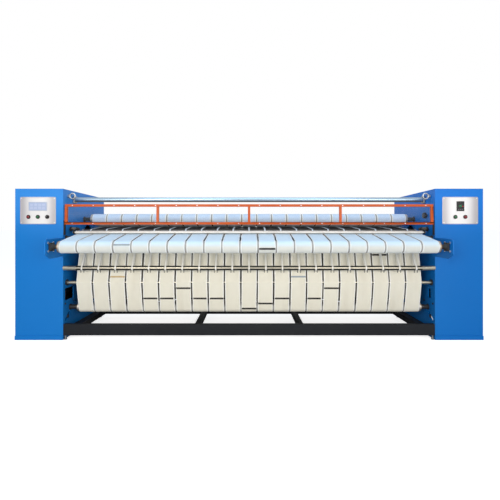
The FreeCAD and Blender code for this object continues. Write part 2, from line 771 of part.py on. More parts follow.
# ---- feed table ---------------------------------------------------------------------------------
def feed_pieces():
    """The feed table: brackets, two rollers, bearings and the press roller on its arms."""
    nose = -feed_reach
    top = feed_front_height + bracket_above
    bottom = feed_front_height - bracket_drop
    outline = [(feed_rear_back, bottom), (feed_rear_back, top), (nose + bracket_corner, top),
               (nose, top - bracket_corner), (nose, feed_front_height - bracket_below),
               (feed_front_back - bracket_knee, bottom)]
    span = (frame_in - bracket_plate, frame_in)
    through = (span[0] - cut_over, span[1] + cut_over)
    bracket = plate(span, outline)
    bracket = bracket.cut([bar(through, feed_front_back, feed_front_height, roller_shaft_radius + hole_gap),
                           bar(through, feed_rear_back, feed_rear_height, nose_rim_radius + hole_gap)])
    save("feed_brackets", both_sides([bracket]))

    bearing_span = (span[0] - feed_bearing_thickness, span[0])
    bearing = block_bearing(bearing_span, feed_front_back, feed_front_height, feed_bearing_size,
                            roller_shaft_radius)
    save("feed_bearings", both_sides([bearing]))
    save("feed_front_roller", roller(feed_front_back, feed_front_height, feed_front_radius,
                                     belt_edge + feed_front_overhang, roller_shaft_radius, span[1]))
    save("feed_rear_roller", collared_roller(feed_rear_back, feed_rear_height, feed_rear_radius))

    arm_in = press_end + press_arm_gap
    arm_span = (arm_in, arm_in + press_arm_plate)
    height = press_height()
    save("press_roller", roller(feed_rear_back, height, press_roller_radius, press_end,
                                press_stub_radius, arm_span[1] + shaft_end))
    arm = slot(arm_span, (feed_rear_back, height), (press_pivot_back, press_pivot_height), press_arm_half)
    wide = (arm_span[0] - cut_over, arm_span[1] + cut_over)
    arm = arm.cut([bar(wide, feed_rear_back, height, press_stub_radius + running_gap),
                   bar(wide, press_pivot_back, press_pivot_height, press_pin_radius + running_gap)])
    save("press_arms", both_sides([arm]))


def press_pin():
    """The press arm's pivot pin, fixed in the side frame plate."""
    span = (press_end + press_arm_gap - shaft_end, frame_in)
    return bar(span, press_pivot_back, press_pivot_height, press_pin_radius)


def press_height():
    """Height of the press roller's axis: it lies on the feed belts over the rear feed roller."""
    return (feed_rear_height + feed_rear_radius + soft_gap + feed_belt_thickness + soft_gap
            + press_roller_radius)


def bore_along(half, height_span):
    """The hollow of a guard bar that lies across the machine."""
    inner = guard_bar / 2 - guard_bar_wall
    return slab((-half - cut_over, half + cut_over), (-inner, inner),
                (height_span[0] + guard_bar_wall, height_span[1] - guard_bar_wall))


def guard_pieces():
    """The finger guard in front of the nip: a frame with clear panes on two pivots."""
    half = frame_in - guard_side_room
    low = (-guard_bar / 2, guard_bar / 2)
    high = (guard_height - 1.5 * guard_bar, guard_height - guard_bar / 2)
    depth = (-guard_bar / 2, guard_bar / 2)
    pivot_height = feed_rear_height + guard_rise + guard_bar / 2
    lower = slab((-half, half), depth, low).cut(bore_along(half, low))
    plug_half = guard_bar / 2 - guard_bar_wall
    plug = slab((half - guard_pin_grip - part_gap, half), (-plug_half, plug_half), (-plug_half, plug_half))
    plug = plug.cut(bar((half - guard_pin_grip - part_gap - cut_over, half + cut_over), 0, 0,
                        guard_pin_radius + running_gap))
    bars = [lower, slab((-half, half), depth, high).cut(bore_along(half, high))]
    bars += both_sides([plug])
    pitch = (2 * half - guard_bar) / (guard_uprights - 1)
    middles = [-half + guard_bar / 2 + i * pitch for i in range(guard_uprights)]
    inner = guard_bar / 2 - guard_bar_wall
    for x in middles:
        tube = slab((x - guard_bar / 2, x + guard_bar / 2), depth, (low[1], high[0]))
        bore = slab((x - inner, x + inner), (-inner, inner), (low[1] - cut_over, high[0] + cut_over))
        bars.append(tube.cut(bore))
    panes = [slab((a + guard_bar / 2, b - guard_bar / 2), (-guard_pane / 2, guard_pane / 2),
                  (low[1], high[0])) for a, b in zip(middles, middles[1:])]
    centre = spot(0, 0, 0)
    for piece in bars + panes:
        piece.rotate(centre, FreeCAD.Vector(1, 0, 0), -guard_lean)
        piece.translate(FreeCAD.Vector(0, guard_back, pivot_height))
    save("guard_frame", bars)
    save("guard_panes", panes)
    post_in = half + part_gap
    post = slab((post_in, frame_in), (guard_back - guard_post_width / 2, guard_back + guard_post_width / 2),
                (feed_rear_height + nose_rim_radius + guard_post_clear, pivot_height + guard_post_rise))
    pin = bar((half - guard_pin_grip, post_in), guard_back, pivot_height, guard_pin_radius)
    save("nip_supports", both_sides([joined([post, pin]), press_pin()]))


def top_tube_pieces():
    """The tube over the guard, its clamps and the lifting eyes."""
    end = frame_in - tube_clamp_thickness
    tube = pipe((-end, end), top_tube_back, top_tube_height, top_tube_radius,
                top_tube_radius - top_tube_wall)
    half = tube_clamp_size / 2
    clamp = slab((end, frame_in), (top_tube_back - half, top_tube_back + half),
                 (top_tube_height - half, top_tube_height + half))
    save("top_tube", [tube] + both_sides([clamp]))
    ring_x = frame_in - eye_collar_thickness - eye_ring_radius - eye_wire_radius
    ring = Part.makeTorus(eye_ring_radius, eye_wire_radius, spot(ring_x, eye_back, eye_height),
                          FreeCAD.Vector(0, 1, 0))
    collar = bar((frame_in - eye_collar_thickness - eye_wire_radius, frame_in), eye_back, eye_height,
                 eye_collar_radius)
    save("lifting_eyes", both_sides([joined([ring, collar])]))


# ---- drive --------------------------------------------------------------------------------------
def pitch_radius(teeth):
    """Pitch circle radius of a chain sprocket."""
    return chain_pitch / (2 * math.sin(math.pi / teeth))


def tip_radius(teeth):
    """Radius over a sprocket's teeth."""
    return pitch_radius(teeth) + tooth_rise


def sprocket(teeth, back, height, bore):
    """A toothed disc with a hub, on the left of the machine, modelled on the right and mirrored."""
    span = (sprocket_place, sprocket_place + sprocket_thickness)
    root = pitch_radius(teeth) - tooth_rise
    step = 2 * math.pi / teeth
    outline = []
    for i in range(teeth):
        for share, radius in ((-tooth_root_share, root), (-tooth_tip_share, tip_radius(teeth)),
                              (tooth_tip_share, tip_radius(teeth)), (tooth_root_share, root)):
            angle = (i + share) * step
            outline.append((back + radius * math.cos(angle), height + radius * math.sin(angle)))
    disc = plate(span, outline)
    through = (span[0] - cut_over, span[0] + sprocket_hub_length + cut_over)
    hub_radius = min(sprocket_hub_radius, root - tooth_rise)
    hub = bar((span[0], span[0] + sprocket_hub_length), back, height, hub_radius)
    return joined([disc, hub]).cut(bar(through, back, height, bore))


def drive_pieces():
    """Chain drive in the left cabinet."""
    save("drum_sprocket", mirrored(sprocket(drum_teeth, drum_back, drum_height,
                                            journal_radius + running_gap)))
    shaft_span = (sprocket_place, gearbox_place + gearbox_bore_depth - part_gap)
    shaft = bar(shaft_span, motor_sprocket_back, motor_sprocket_height, motor_shaft_radius)
    wheel = sprocket(motor_teeth, motor_sprocket_back, motor_sprocket_height,
                     motor_shaft_radius + running_gap)
    save("motor_sprocket", [mirrored(wheel), mirrored(shaft)])

    stops = [(drum_back, drum_height, tip_radius(drum_teeth) + soft_gap),
             (motor_sprocket_back, motor_sprocket_height, tip_radius(motor_teeth) + soft_gap)]
    chain_start = sprocket_place + sprocket_thickness / 2 - chain_width / 2
    save("drive_chain", mirrored(loop_band(stops, chain_band, chain_start, chain_width)))

    box_back = (motor_sprocket_back - gearbox_depth / 2, motor_sprocket_back + gearbox_depth / 2)
    box_height = (motor_sprocket_height - gearbox_height / 2, motor_sprocket_height + gearbox_height / 2)
    box = slab((gearbox_place, gearbox_place + gearbox_width), box_back, box_height)
    bore = bar((gearbox_place - cut_over, gearbox_place + gearbox_bore_depth), motor_sprocket_back,
               motor_sprocket_height, motor_shaft_radius + running_gap)
    motor = lengthwise(gearbox_place + gearbox_width / 2, (box_back[1], box_back[1] + motor_length),
                       motor_sprocket_height, motor_radius)
    shelf_out = frame_out + motor_shelf_width
    shelf = slab((frame_out, shelf_out), box_back, (box_height[0] - motor_shelf, box_height[0]))
    save("gear_motor", [mirrored(box.cut(bore)), mirrored(motor), mirrored(shelf)])


# ---- steam --------------------------------------------------------------------------------------
def steam_middle():
    """Distance from the machine's middle to the steam pipes in the right cabinet."""
    return journal_end + part_gap + steam_body_length / 2


def nipple_stub(x, height, radius):
    """A pipe end behind the right cabinet."""
    span = (case_depth, case_depth + pipe_stub_length)
    wide = (span[0] - cut_over, span[1] + cut_over)
    return lengthwise(x, span, height, radius).cut(lengthwise(x, wide, height, radius - stub_wall))


def steam_pieces():
    """Rotary steam joint on the right journal, with the inlet and condensate pipes."""
    start = journal_end + part_gap
    x = steam_middle()
    body = bar((start, start + steam_body_length), drum_back, drum_height, steam_body_radius)
    bore = bar((start - cut_over, journal_end + steam_nipple_length + part_gap), drum_back, drum_height,
               steam_nipple_radius + running_gap)
    save("steam_joint", body.cut(bore))
    joint_back = drum_back + steam_body_radius
    inlet = lengthwise(x, (joint_back, case_depth), drum_height, steam_pipe_radius)
    elbow_low = condensate_height - elbow_size / 2
    elbow = slab((x - elbow_size / 2, x + elbow_size / 2),
                 (drum_back - elbow_size / 2, drum_back + elbow_size / 2),
                 (elbow_low, elbow_low + elbow_size))
    drop = upright(x, drum_back, (elbow_low + elbow_size, drum_height - steam_body_radius),
                   condensate_pipe_radius)
    run = lengthwise(x, (drum_back + elbow_size / 2, case_depth), condensate_height,
                     condensate_pipe_radius)
    stubs = [nipple_stub(x, drum_height, steam_stub_radius),
             nipple_stub(x, condensate_height, condensate_stub_radius)]
    save("steam_pipes", [inlet, elbow, drop, run] + stubs)


# ---- controls -----------------------------------------------------------------------------------
def face_box(x, height, width, tall, back_span):
    """A box centred on a place of the control plate."""
    return slab((x - width / 2, x + width / 2), back_span, (height - tall / 2, height + tall / 2))


def instrument(x, height, width, tall, proud, depth, rim, recess):
    """A flush instrument: a rimmed face and a case behind the plate."""
    front = -panel_plate - proud
    case = face_box(x, height, width, tall, (front, -panel_plate))
    window = face_box(x, height, width - 2 * rim, tall - 2 * rim, (front - cut_over, front + recess))
    inside = face_box(x, height, width - 2 * rim, tall - 2 * rim, (-panel_plate, depth))
    return joined([case, inside]).cut(window)


def control_plate(x, holes):
    """A stainless plate with rounded corners; holes is a list of (x, height, width, tall) or radii."""
    body = face_box(x, panel_height, panel_width, panel_tall, (-panel_plate, 0))
    corners = [e for e in body.Edges if abs(e.tangentAt(e.FirstParameter).y) > 0.99]
    return body.makeFillet(panel_corner, corners).cut(holes)


def button_places():
    """Where the push buttons and the selector sit: name to x."""
    return {"left_red_button": -panel_place - left_button_pitch,
            "left_green_button": -panel_place,
            "left_selector": -panel_place + left_button_pitch,
            "right_green_button": panel_place - right_button_pitch / 2,
            "right_red_button": panel_place + right_button_pitch / 2}


def control_pieces():
    """Both control plates with their instruments, buttons and screws."""
    hole_span = (-panel_plate - cut_over, cut_over)
    display_hole = face_box(-panel_place, display_height, display_width - 2 * display_rim,
                            display_tall - 2 * display_rim, hole_span)
    controller_hole = face_box(panel_place, controller_height, controller_width - 2 * controller_rim,
                               controller_tall - 2 * controller_rim, hole_span)
    places = button_places()
    holes = {name: lengthwise(x, hole_span, button_height, collar_body_radius) for name, x in places.items()}
    left_holes = [display_hole] + [h for n, h in holes.items() if n.startswith("left")]
    right_holes = [controller_hole] + [h for n, h in holes.items() if n.startswith("right")]
    save("control_plates", [control_plate(-panel_place, left_holes),
                            control_plate(panel_place, right_holes)])
    save("display", instrument(-panel_place, display_height, display_width, display_tall, display_proud,
                               display_depth, display_rim, display_recess))
    save("temperature_controller",
         instrument(panel_place, controller_height, controller_width, controller_tall, controller_proud,
                    controller_depth, controller_rim, controller_recess))
    collars = []
    bore_radius = button_radius + running_gap
    for name, x in places.items():
        ring = lengthwise(x, (-panel_plate - collar_proud, -panel_plate), button_height, collar_radius)
        body = lengthwise(x, (-panel_plate, collar_body_length), button_height, collar_body_radius)
        bore_span = (-panel_plate - collar_proud - cut_over, button_neck + button_travel + part_gap)
        bore = lengthwise(x, bore_span, button_height, bore_radius)
        collars.append(joined([ring, body]).cut(bore))
        front = -panel_plate - button_proud
        stem = lengthwise(x, (front, button_neck), button_height, button_radius)
        if name.endswith("selector"):
            grip = face_box(x, button_height, selector_grip_width, 2 * (button_radius - selector_grip_inset),
                            (front - selector_grip_proud + button_proud, front))
            stem = joined([stem, grip])
        save(name, stem)
    save("switch_bodies", collars)
    box = slab((electric_box_place, electric_box_place + electric_box_width),
               (sheet, sheet + electric_box_depth),
               (electric_box_bottom, electric_box_bottom + electric_box_tall))
    save("electric_box", box)


def panel_screws():
    """The corner screws of both control plates."""
    screws = []
    for middle in (-panel_place, panel_place):
        for side in (-1, 1):
            for rise in (-1, 1):
                x = middle + side * (panel_width / 2 - panel_screw_inset)
                height = panel_height + rise * (panel_tall / 2 - panel_screw_inset)
                screws.append(lengthwise(x, (-panel_plate - panel_screw_proud, -panel_plate), height,
                                         panel_screw_radius))
    return screws


# ---- fittings -----------------------------------------------------------------------------------
def fitting_pieces():
    """Bolts on the feed brackets and frames, the adjuster bolts and the hand knob."""
    head_span = (frame_in - bracket_plate - bolt_head, frame_in - bracket_plate)
    half = feed_bearing_size / 2
    bolts = []
    for back in (feed_front_back - half - bolt_head_radius, feed_front_back + half + bolt_head_radius):
        for rise in (-1, 1):
            height = feed_front_height + rise * half
            bolts.append(bar(head_span, back, height, bolt_head_radius))
    wall_span = (frame_in - bolt_head, frame_in)
    middle = ((adjust_slot_front[0] + adjust_slot_rear[0]) / 2,
              (adjust_slot_front[1] + adjust_slot_rear[1]) / 2)
    bolts.append(bar(wall_span, *middle, adjust_slot_radius + bolt_head_radius / 2))
    for back in (access_back, access_back + access_deep):
        bolts.append(bar(wall_span, back, access_bottom - access_bolt_drop, bolt_head_radius))
    save("bolts_and_screws", both_sides(bolts) + panel_screws())
    neck = bar((frame_in - knob_neck, frame_in), knob_back, knob_height, knob_neck_radius)
    knob = bar((frame_in - knob_neck - knob_thickness, frame_in - knob_neck), knob_back, knob_height,
               knob_radius)
    save("hand_knob", joined([neck, knob]))


def main():
    """Builds every sub-part and writes one file each."""
    os.makedirs("parts", exist_ok=True)
    cabinet_pieces()
    door_pieces()
    base_pieces()
    roller_pieces()
    rod_pieces()
    drum_pieces()
    belt_pieces()
    feed_pieces()
    guard_pieces()
    top_tube_pieces()
    drive_pieces()
    steam_pieces()
    control_pieces()
    fitting_pieces()


main()
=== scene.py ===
"""Looks of a flatwork ironer: a heated drum with felt belts between two blue cabinets.

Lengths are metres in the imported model's own frame: X across the machine, Y to its back and Z up.
"""
import json
import logging
import math
from dataclasses import dataclass, field
from enum import Enum
from functools import lru_cache
from typing import Callable, Iterable, Optional, Sequence, Union

import bmesh
import bpy
from mathutils import Matrix, Vector, noise

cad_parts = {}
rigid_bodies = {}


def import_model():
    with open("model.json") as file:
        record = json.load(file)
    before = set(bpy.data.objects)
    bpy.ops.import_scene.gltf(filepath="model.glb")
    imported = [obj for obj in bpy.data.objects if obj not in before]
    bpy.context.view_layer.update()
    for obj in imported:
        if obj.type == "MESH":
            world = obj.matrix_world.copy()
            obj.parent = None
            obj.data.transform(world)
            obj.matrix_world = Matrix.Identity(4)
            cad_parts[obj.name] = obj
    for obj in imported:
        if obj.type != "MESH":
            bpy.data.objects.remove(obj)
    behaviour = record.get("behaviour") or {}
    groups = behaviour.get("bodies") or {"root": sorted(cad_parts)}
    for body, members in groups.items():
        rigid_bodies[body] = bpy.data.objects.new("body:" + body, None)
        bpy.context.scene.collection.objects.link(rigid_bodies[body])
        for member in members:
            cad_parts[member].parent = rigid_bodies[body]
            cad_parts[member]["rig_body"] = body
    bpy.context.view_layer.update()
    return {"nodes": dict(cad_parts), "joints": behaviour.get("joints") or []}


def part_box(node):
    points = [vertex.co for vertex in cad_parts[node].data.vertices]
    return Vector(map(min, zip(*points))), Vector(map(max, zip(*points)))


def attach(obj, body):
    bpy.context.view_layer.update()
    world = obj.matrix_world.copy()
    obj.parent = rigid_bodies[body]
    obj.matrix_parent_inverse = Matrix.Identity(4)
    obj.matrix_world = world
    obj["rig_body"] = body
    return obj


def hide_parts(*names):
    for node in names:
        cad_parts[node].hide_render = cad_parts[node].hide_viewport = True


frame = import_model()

LOG = logging.getLogger("ironer")
Colour = tuple[float, float, float, float]
Span = tuple[float, float]
Point = tuple[float, float, float]
Profile = list[tuple[float, float]]     # (place along the axis, radius) points of a turned piece
Box = tuple[Vector, Vector]
Mesh = bmesh.types.BMesh

MM = 0.001
WELD = 0.00002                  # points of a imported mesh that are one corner
FLAT_ANGLE = math.radians(1.0)  # faces that turn by less than this are one flat face
SHARP = math.radians(50.0)      # edges that turn by more than this are bevelled
CREASE = math.radians(38.0)     # edges that turn by more than this are drawn sharp
FULL_TURN = 2 * math.pi


def tint(red: float, green: float, blue: float) -> Colour:
    """A colour from its screen values.

    Args:
        red, green, blue: from 0 to 255.

    Returns:
        The same colour in linear light, with full alpha.
    """
    def linear(value: float) -> float:
        """One channel in linear light."""
        share = value / 255
        return share / 12.92 if share <= 0.04045 else ((share + 0.055) / 1.055) ** 2.4

    return (linear(red), linear(green), linear(blue), 1.0)


# ---- materials ----------------------------------------------------------------------------------
class Sock:
    """A node's output, with arithmetic on it."""

    def __init__(self, graph: "Graph", socket: bpy.types.NodeSocket) -> None:
        """Wraps one output socket."""
        self.graph = graph
        self.socket = socket

    def _maths(self, operation: str, first: "Value", second: "Value") -> "Sock":
        """A Math node on two values."""
        return self.graph.node("ShaderNodeMath", {"operation": operation}, {0: first, 1: second})

    def __add__(self, other: "Value") -> "Sock":
        """self + other."""
        return self._maths("ADD", self, other)

    def __radd__(self, other: "Value") -> "Sock":
        """other + self."""
        return self._maths("ADD", other, self)

    def __sub__(self, other: "Value") -> "Sock":
        """self - other."""
        return self._maths("SUBTRACT", self, other)

    def __rsub__(self, other: "Value") -> "Sock":
        """other - self."""
        return self._maths("SUBTRACT", other, self)

    def __mul__(self, other: "Value") -> "Sock":
        """self * other."""
        return self._maths("MULTIPLY", self, other)

    def __rmul__(self, other: "Value") -> "Sock":
        """other * self."""
        return self._maths("MULTIPLY", other, self)

    def __truediv__(self, other: "Value") -> "Sock":
        """self / other."""
        return self._maths("DIVIDE", self, other)

    def __abs__(self) -> "Sock":
        """Its size without its sign."""
        return self._maths("ABSOLUTE", self, 0.0)

    def __lt__(self, other: "Value") -> "Sock":
        """1 where self is the smaller, or else 0."""
        return self._maths("LESS_THAN", self, other)


Value = Union[Sock, float]


class Graph:
    """The nodes of a material or of the world."""

    def __init__(self, tree: bpy.types.NodeTree) -> None:
        """Starts with no nodes."""
        self.tree = tree
        tree.nodes.clear()

    def node(self, kind: str, settings: Optional[dict] = None, sockets: Optional[dict] = None,
             out: Union[int, str] = 0) -> Sock:
        """Adds any node.

        Args:
            kind: the node's type.
            settings: its own settings, set first.
            sockets: values or links of its inputs, by name or number.
            out: which output to give back.

        Returns:
            That output, or the first input of a node that has no outputs.
        """
        made = self.tree.nodes.new(kind)
        for key, value in (settings or {}).items():
            setattr(made, key, value)
        for key, value in (sockets or {}).items():
            if isinstance(value, Sock):
                self.tree.links.new(value.socket, made.inputs[key])
            else:
                made.inputs[key].default_value = value
        return Sock(self, made.outputs[out] if made.outputs else made.inputs[0])

    def place(self) -> Sock:
        """The point of the piece, in metres."""
        return self.node("ShaderNodeTexCoord", out="Object")

    def lengths(self) -> Sock:
        """The point on a band's own map: across and along, in metres."""
        return self.node("ShaderNodeUVMap", {"uv_map": Band.MAP})

    def part(self, vector: Sock, axis: str) -> Sock:
        """One of a vector's three numbers, by its letter."""
        return self.node("ShaderNodeSeparateXYZ", None, {0: vector}, axis)

    def stretched(self, vector: Sock, scale: tuple[float, float, float]) -> Sock:
        """A vector scaled each way."""
        return self.node("ShaderNodeMapping", None, {"Vector": vector, "Scale": scale})

    def noise(self, where: Sock, scale: float, detail: float = 3.0) -> Sock:
        """Cloudy values from 0 to 1."""
        return self.node("ShaderNodeTexNoise", None, {"Vector": where, "Scale": scale, "Detail": detail})

    def rubbed(self, where: Sock, grain: "Grain") -> Sock:
        """The fine lines that rubbing or turning leaves in a metal."""
        return self.noise(self.stretched(where, grain.value), 1.0)

    def ease(self, value: Sock, low: float, high: float) -> Sock:
        """0 below low and 1 above high, smooth between."""
        return self.node("ShaderNodeMapRange", {"interpolation_type": "SMOOTHSTEP"},
                         {"Value": value, "From Min": low, "From Max": high})

    def blend(self, share: Value, first: Union[Sock, Colour], second: Union[Sock, Colour]) -> Sock:
        """A colour between two, through the Mix node's colour sockets."""
        return self.node("ShaderNodeMix", {"data_type": "RGBA"}, {0: share, 6: first, 7: second}, 2)

    def bump(self, height: Sock, distance: float, strength: float = 1.0) -> Sock:
        """A normal from a height in metres."""
        return self.node("ShaderNodeBump", None,
                         {"Height": height, "Distance": distance, "Strength": strength})

    def surface(self, **sockets: Union[Value, Colour]) -> None:
        """The one shader of a material.

        Args:
            sockets: its inputs by name, with underscores for the spaces.
        """
        named = {key.replace("_", " "): value for key, value in sockets.items()}
        shader = self.node("ShaderNodeBsdfPrincipled", None, named)
        self.node("ShaderNodeOutputMaterial", None, {"Surface": shader})


class Finish:
    """Something that a piece is finished with."""

    name: str

    def draw(self, graph: Graph) -> None:
        """Adds the finish's nodes."""
        raise NotImplementedError


@lru_cache(maxsize=None)
def material(finish: Finish) -> bpy.types.Material:
    """The one material of a finish.

    Args:
        finish: the finish.

    Returns:
        Its material, made at the first call.
    """
    made = bpy.data.materials.new(finish.name)
    made.use_nodes = True
    finish.draw(Graph(made.node_tree))
    return made


@dataclass(frozen=True)
class Enamel(Finish):
    """Baked paint over sheet metal, with a fine orange peel, a little dust and a painted reflection that
    pales its top.
    """

    name: str
    colour: Colour
    worn: Colour
    high: Optional[Colour] = None       # colour of the painted reflection on the top
    high_span: Span = (1.02, 1.46)      # heights between which the painted reflection pales the paint
    high_share: float = 0.75
    high_sway: float = 0.12             # how far the clouds shift those heights
    roughness: float = 0.40
    coat: float = 0.06
    specular: float = 0.22
    cloud_scale: float = 1.7
    clouded: float = 0.30
    dust_scale: float = 38.0
    dusted: float = 0.12
    peel_scale: float = 260.0
    peel: float = 0.00006

    def draw(self, graph: Graph) -> None:
        """Adds the paint's nodes.

        Args:
            graph: the material's nodes.
        """
        where = graph.place()
        cloud = graph.noise(where, self.cloud_scale, 2.0)
        dust = graph.noise(where, self.dust_scale, 5.0)
        share = graph.ease(cloud, 0.35, 0.75) * self.clouded + graph.ease(dust, 0.55, 0.80) * self.dusted
        peel = graph.noise(where, self.peel_scale, 2.0)
        paint = graph.blend(share, self.colour, self.worn)
        if self.high:
            # painted reflection: the paint turns paler towards the top
            painted_reflection_rise = graph.ease(graph.part(where, "Z") + cloud * self.high_sway, *self.high_span)
            paint = graph.blend(painted_reflection_rise * self.high_share, paint, self.high)
        graph.surface(Base_Color=paint,
                      Roughness=self.roughness + dust * 0.10,
                      Normal=graph.bump(peel, self.peel),
                      Specular_IOR_Level=self.specular,
                      Coat_Weight=self.coat, Coat_Roughness=0.25)


class Grain(Enum):
    """Which way a metal was rubbed or turned: how fine its lines are along X, Y and Z."""

    ROUND = (4.0, 900.0, 900.0)
    UPRIGHT = (700.0, 700.0, 14.0)
    NONE = (160.0, 160.0, 160.0)


@dataclass(frozen=True)
class Metal(Finish):
    """Bare or plated metal, with its grain, stains and handling marks."""

    name: str
    colour: Colour
    stain: Colour
    roughness: float
    grain: Grain = Grain.NONE
    spread: float = 0.10                # how far the grain changes the roughness
    stained: float = 0.35
    metallic: float = 1.0
    mark_scale: float = 9.0
    relief: float = 0.00002

    def draw(self, graph: Graph) -> None:
        """Adds the metal's nodes.

        Args:
            graph: the material's nodes.
        """
        where = graph.place()
        lines = graph.rubbed(where, self.grain)
        share = graph.ease(graph.noise(where, self.mark_scale, 5.0), 0.48, 0.82) * self.stained
        graph.surface(Base_Color=graph.blend(share, self.colour, self.stain),
                      Metallic=self.metallic,
                      Roughness=self.roughness + lines * self.spread + share * 0.20,
                      Normal=graph.bump(lines, self.relief))


@dataclass(frozen=True)
class RollerSteel(Finish):
    """Steel tube, bright at both ends; where the belts run it is rougher and its colour darkened as painted
    shade.
    """

    name: str
    bright: Colour
    dull: Colour
    belts_end: float = 1.717            # half the length that the belts cover
    ragged: float = 6 * MM              # width of the uneven edge there
    mark_scale: float = 14.0
    relief: float = 0.00002

    def draw(self, graph: Graph) -> None:
        """Adds the tube's nodes.

        Args:
            graph: the material's nodes.
        """
        where = graph.place()
        lines = graph.rubbed(where, Grain.ROUND)
        marks = graph.noise(where, self.mark_scale, 5.0)
        off = abs(graph.part(where, "X"))
        # painted shade between the belts, where they cover the tube, with a ragged edge
        under = 1 - graph.ease(off + marks * self.ragged, self.belts_end, self.belts_end + self.ragged)
        graph.surface(Base_Color=graph.blend(under, self.bright, self.dull),
                      Metallic=0.9 - under * 0.55,
                      Roughness=0.30 + lines * 0.12 + under * 0.35,
                      Normal=graph.bump(lines, self.relief))


@dataclass(frozen=True)
class RodSteel(Finish):
    """Polished fixed bar along X with a painted highlight stripe and painted dark lines of shade and
    reflection along its top and underside.
    """

    name: str
    centre: float                       # height of its axis
    radius: float
    # colours of the painted highlight and of the painted shade lines
    bright: Colour = tint(168, 162, 146)
    dark: Colour = tint(14, 13, 12)
    lined_half: float = 1.71            # half the length that the lines run along
    lined_fade: float = 20 * MM
    line_low: float = 0.10              # where a line starts, by the square of the way to the rim
    line_soft: float = 0.16
    raised: float = 0.17                # how far above the middle the painted highlight stripe lies, in radii
    relief: float = 0.00001

    def draw(self, graph: Graph) -> None:
        """Adds the bar's nodes.

        Args:
            graph: the material's nodes.
        """
        where = graph.place()
        lines = graph.rubbed(where, Grain.ROUND)
        marks = graph.noise(graph.stretched(where, (6.0, 60.0, 60.0)), 1.0, 4.0)
        off = (graph.part(where, "Z") - self.centre) / self.radius - self.raised
        along = 1 - graph.ease(abs(graph.part(where, "X")), self.lined_half - self.lined_fade,
                               self.lined_half)
        # painted shade and reflection: dark lines near the top and underside, a painted highlight between
        line = graph.ease(off * off + marks * 0.06, self.line_low, self.line_low + self.line_soft) * along
        graph.surface(Base_Color=graph.blend(line, self.bright, self.dark),
                      Metallic=0.85 - line * 0.8,
                      Roughness=0.24 + lines * 0.08 + line * 0.3,
                      Normal=graph.bump(lines, self.relief))


@dataclass(frozen=True)
class PanelSteel(Finish):
    """Brushed stainless plate with a painted highlight along its upright middle line, darker towards its
    sides.
    """

    name: str
    middle: float
    half_width: float
    bright: Colour = tint(236, 234, 234)
    dull: Colour = tint(176, 172, 176)
    relief: float = 0.00003

    def draw(self, graph: Graph) -> None:
        """Adds the plate's nodes.

        Args:
            graph: the material's nodes.
        """
        where = graph.place()
        lines = graph.rubbed(where, Grain.UPRIGHT)
        off = (graph.part(where, "X") - self.middle) / self.half_width
        # painted reflection: brightest along the middle, painted shade towards the sides
        share = graph.ease(off * off, 0.02, 0.80) * 0.85 + lines * 0.15
        graph.surface(Base_Color=graph.blend(share, self.bright, self.dull),
                      Metallic=0.55,
                      Roughness=0.30 + lines * 0.14,
                      Normal=graph.bump(lines, self.relief))


@dataclass(frozen=True)
class Felt(Finish):
    """Needled felt or woven tape on a band's own map, with bound edges, a rib across and painted sky light on
    its higher parts.
    """

    name: str
    colour: Colour
    shade: Colour
    edge: Colour
    width: float
    hem: float
    cool: Colour = tint(176, 204, 236)
    cool_from: float = 0.92             # heights between which the painted sky light turns it bluer
    cool_to: float = 0.975
    rib: float = 3.1 * MM
    relief: float = 0.00035
    sheen: float = 0.25
    stitch_width: float = 0.9 * MM
    stitch_pitch: float = 7.5 * MM
    stitch_share: float = 0.62          # how much of its pitch a stitch takes
    stitch_place: float = 1.12          # how far in the stitches lie, in hems

    def draw(self, graph: Graph) -> None:
        """Adds the felt's nodes.

        Args:
            graph: the material's nodes.
        """
        where = graph.lengths()
        across = graph.part(where, "X")
        along = graph.part(where, "Y")
        fibre = graph.noise(graph.stretched(where, (1400.0, 500.0, 1.0)), 1.0, 4.0)
        cloud = graph.noise(where, 9.0, 4.0)
        soil = graph.ease(graph.noise(graph.stretched(where, (9.0, 1.6, 1.0)), 1.0, 5.0), 0.48, 0.75)
        ribs = graph.node("ShaderNodeMath", {"operation": "SINE"}, {0: along * (FULL_TURN / self.rib)})
        inside = graph.node("ShaderNodeMath", {"operation": "PINGPONG"},
                            {0: across, 1: self.width / 2})
        bound = 1 - graph.ease(inside, self.hem * 0.85, self.hem)
        stitch = abs(inside - self.hem * self.stitch_place) < self.stitch_width
        dash = graph.node("ShaderNodeMath", {"operation": "FRACT"}, {0: along / self.stitch_pitch})
        thread = stitch * (dash < self.stitch_share)
        share = cloud * 0.35 + soil * 0.30 + ribs * 0.05
        # painted sky light: the higher parts turn bluish
        high = graph.ease(graph.part(graph.place(), "Z"), self.cool_from, self.cool_to)
        body = graph.blend(high * 0.85, graph.blend(share, self.colour, self.shade), self.cool)
        hemmed = graph.blend(bound * 0.85, body, self.edge)
        height = fibre * 0.55 + ribs * 0.10 + thread * 0.5 + cloud * 0.6
        graph.surface(Base_Color=graph.blend(thread * 0.45, hemmed, self.shade),
                      Roughness=0.86 + fibre * 0.10,
                      Normal=graph.bump(height, self.relief, 0.8),
                      Sheen_Weight=self.sheen, Sheen_Roughness=0.5,
                      Specular_IOR_Level=0.25)


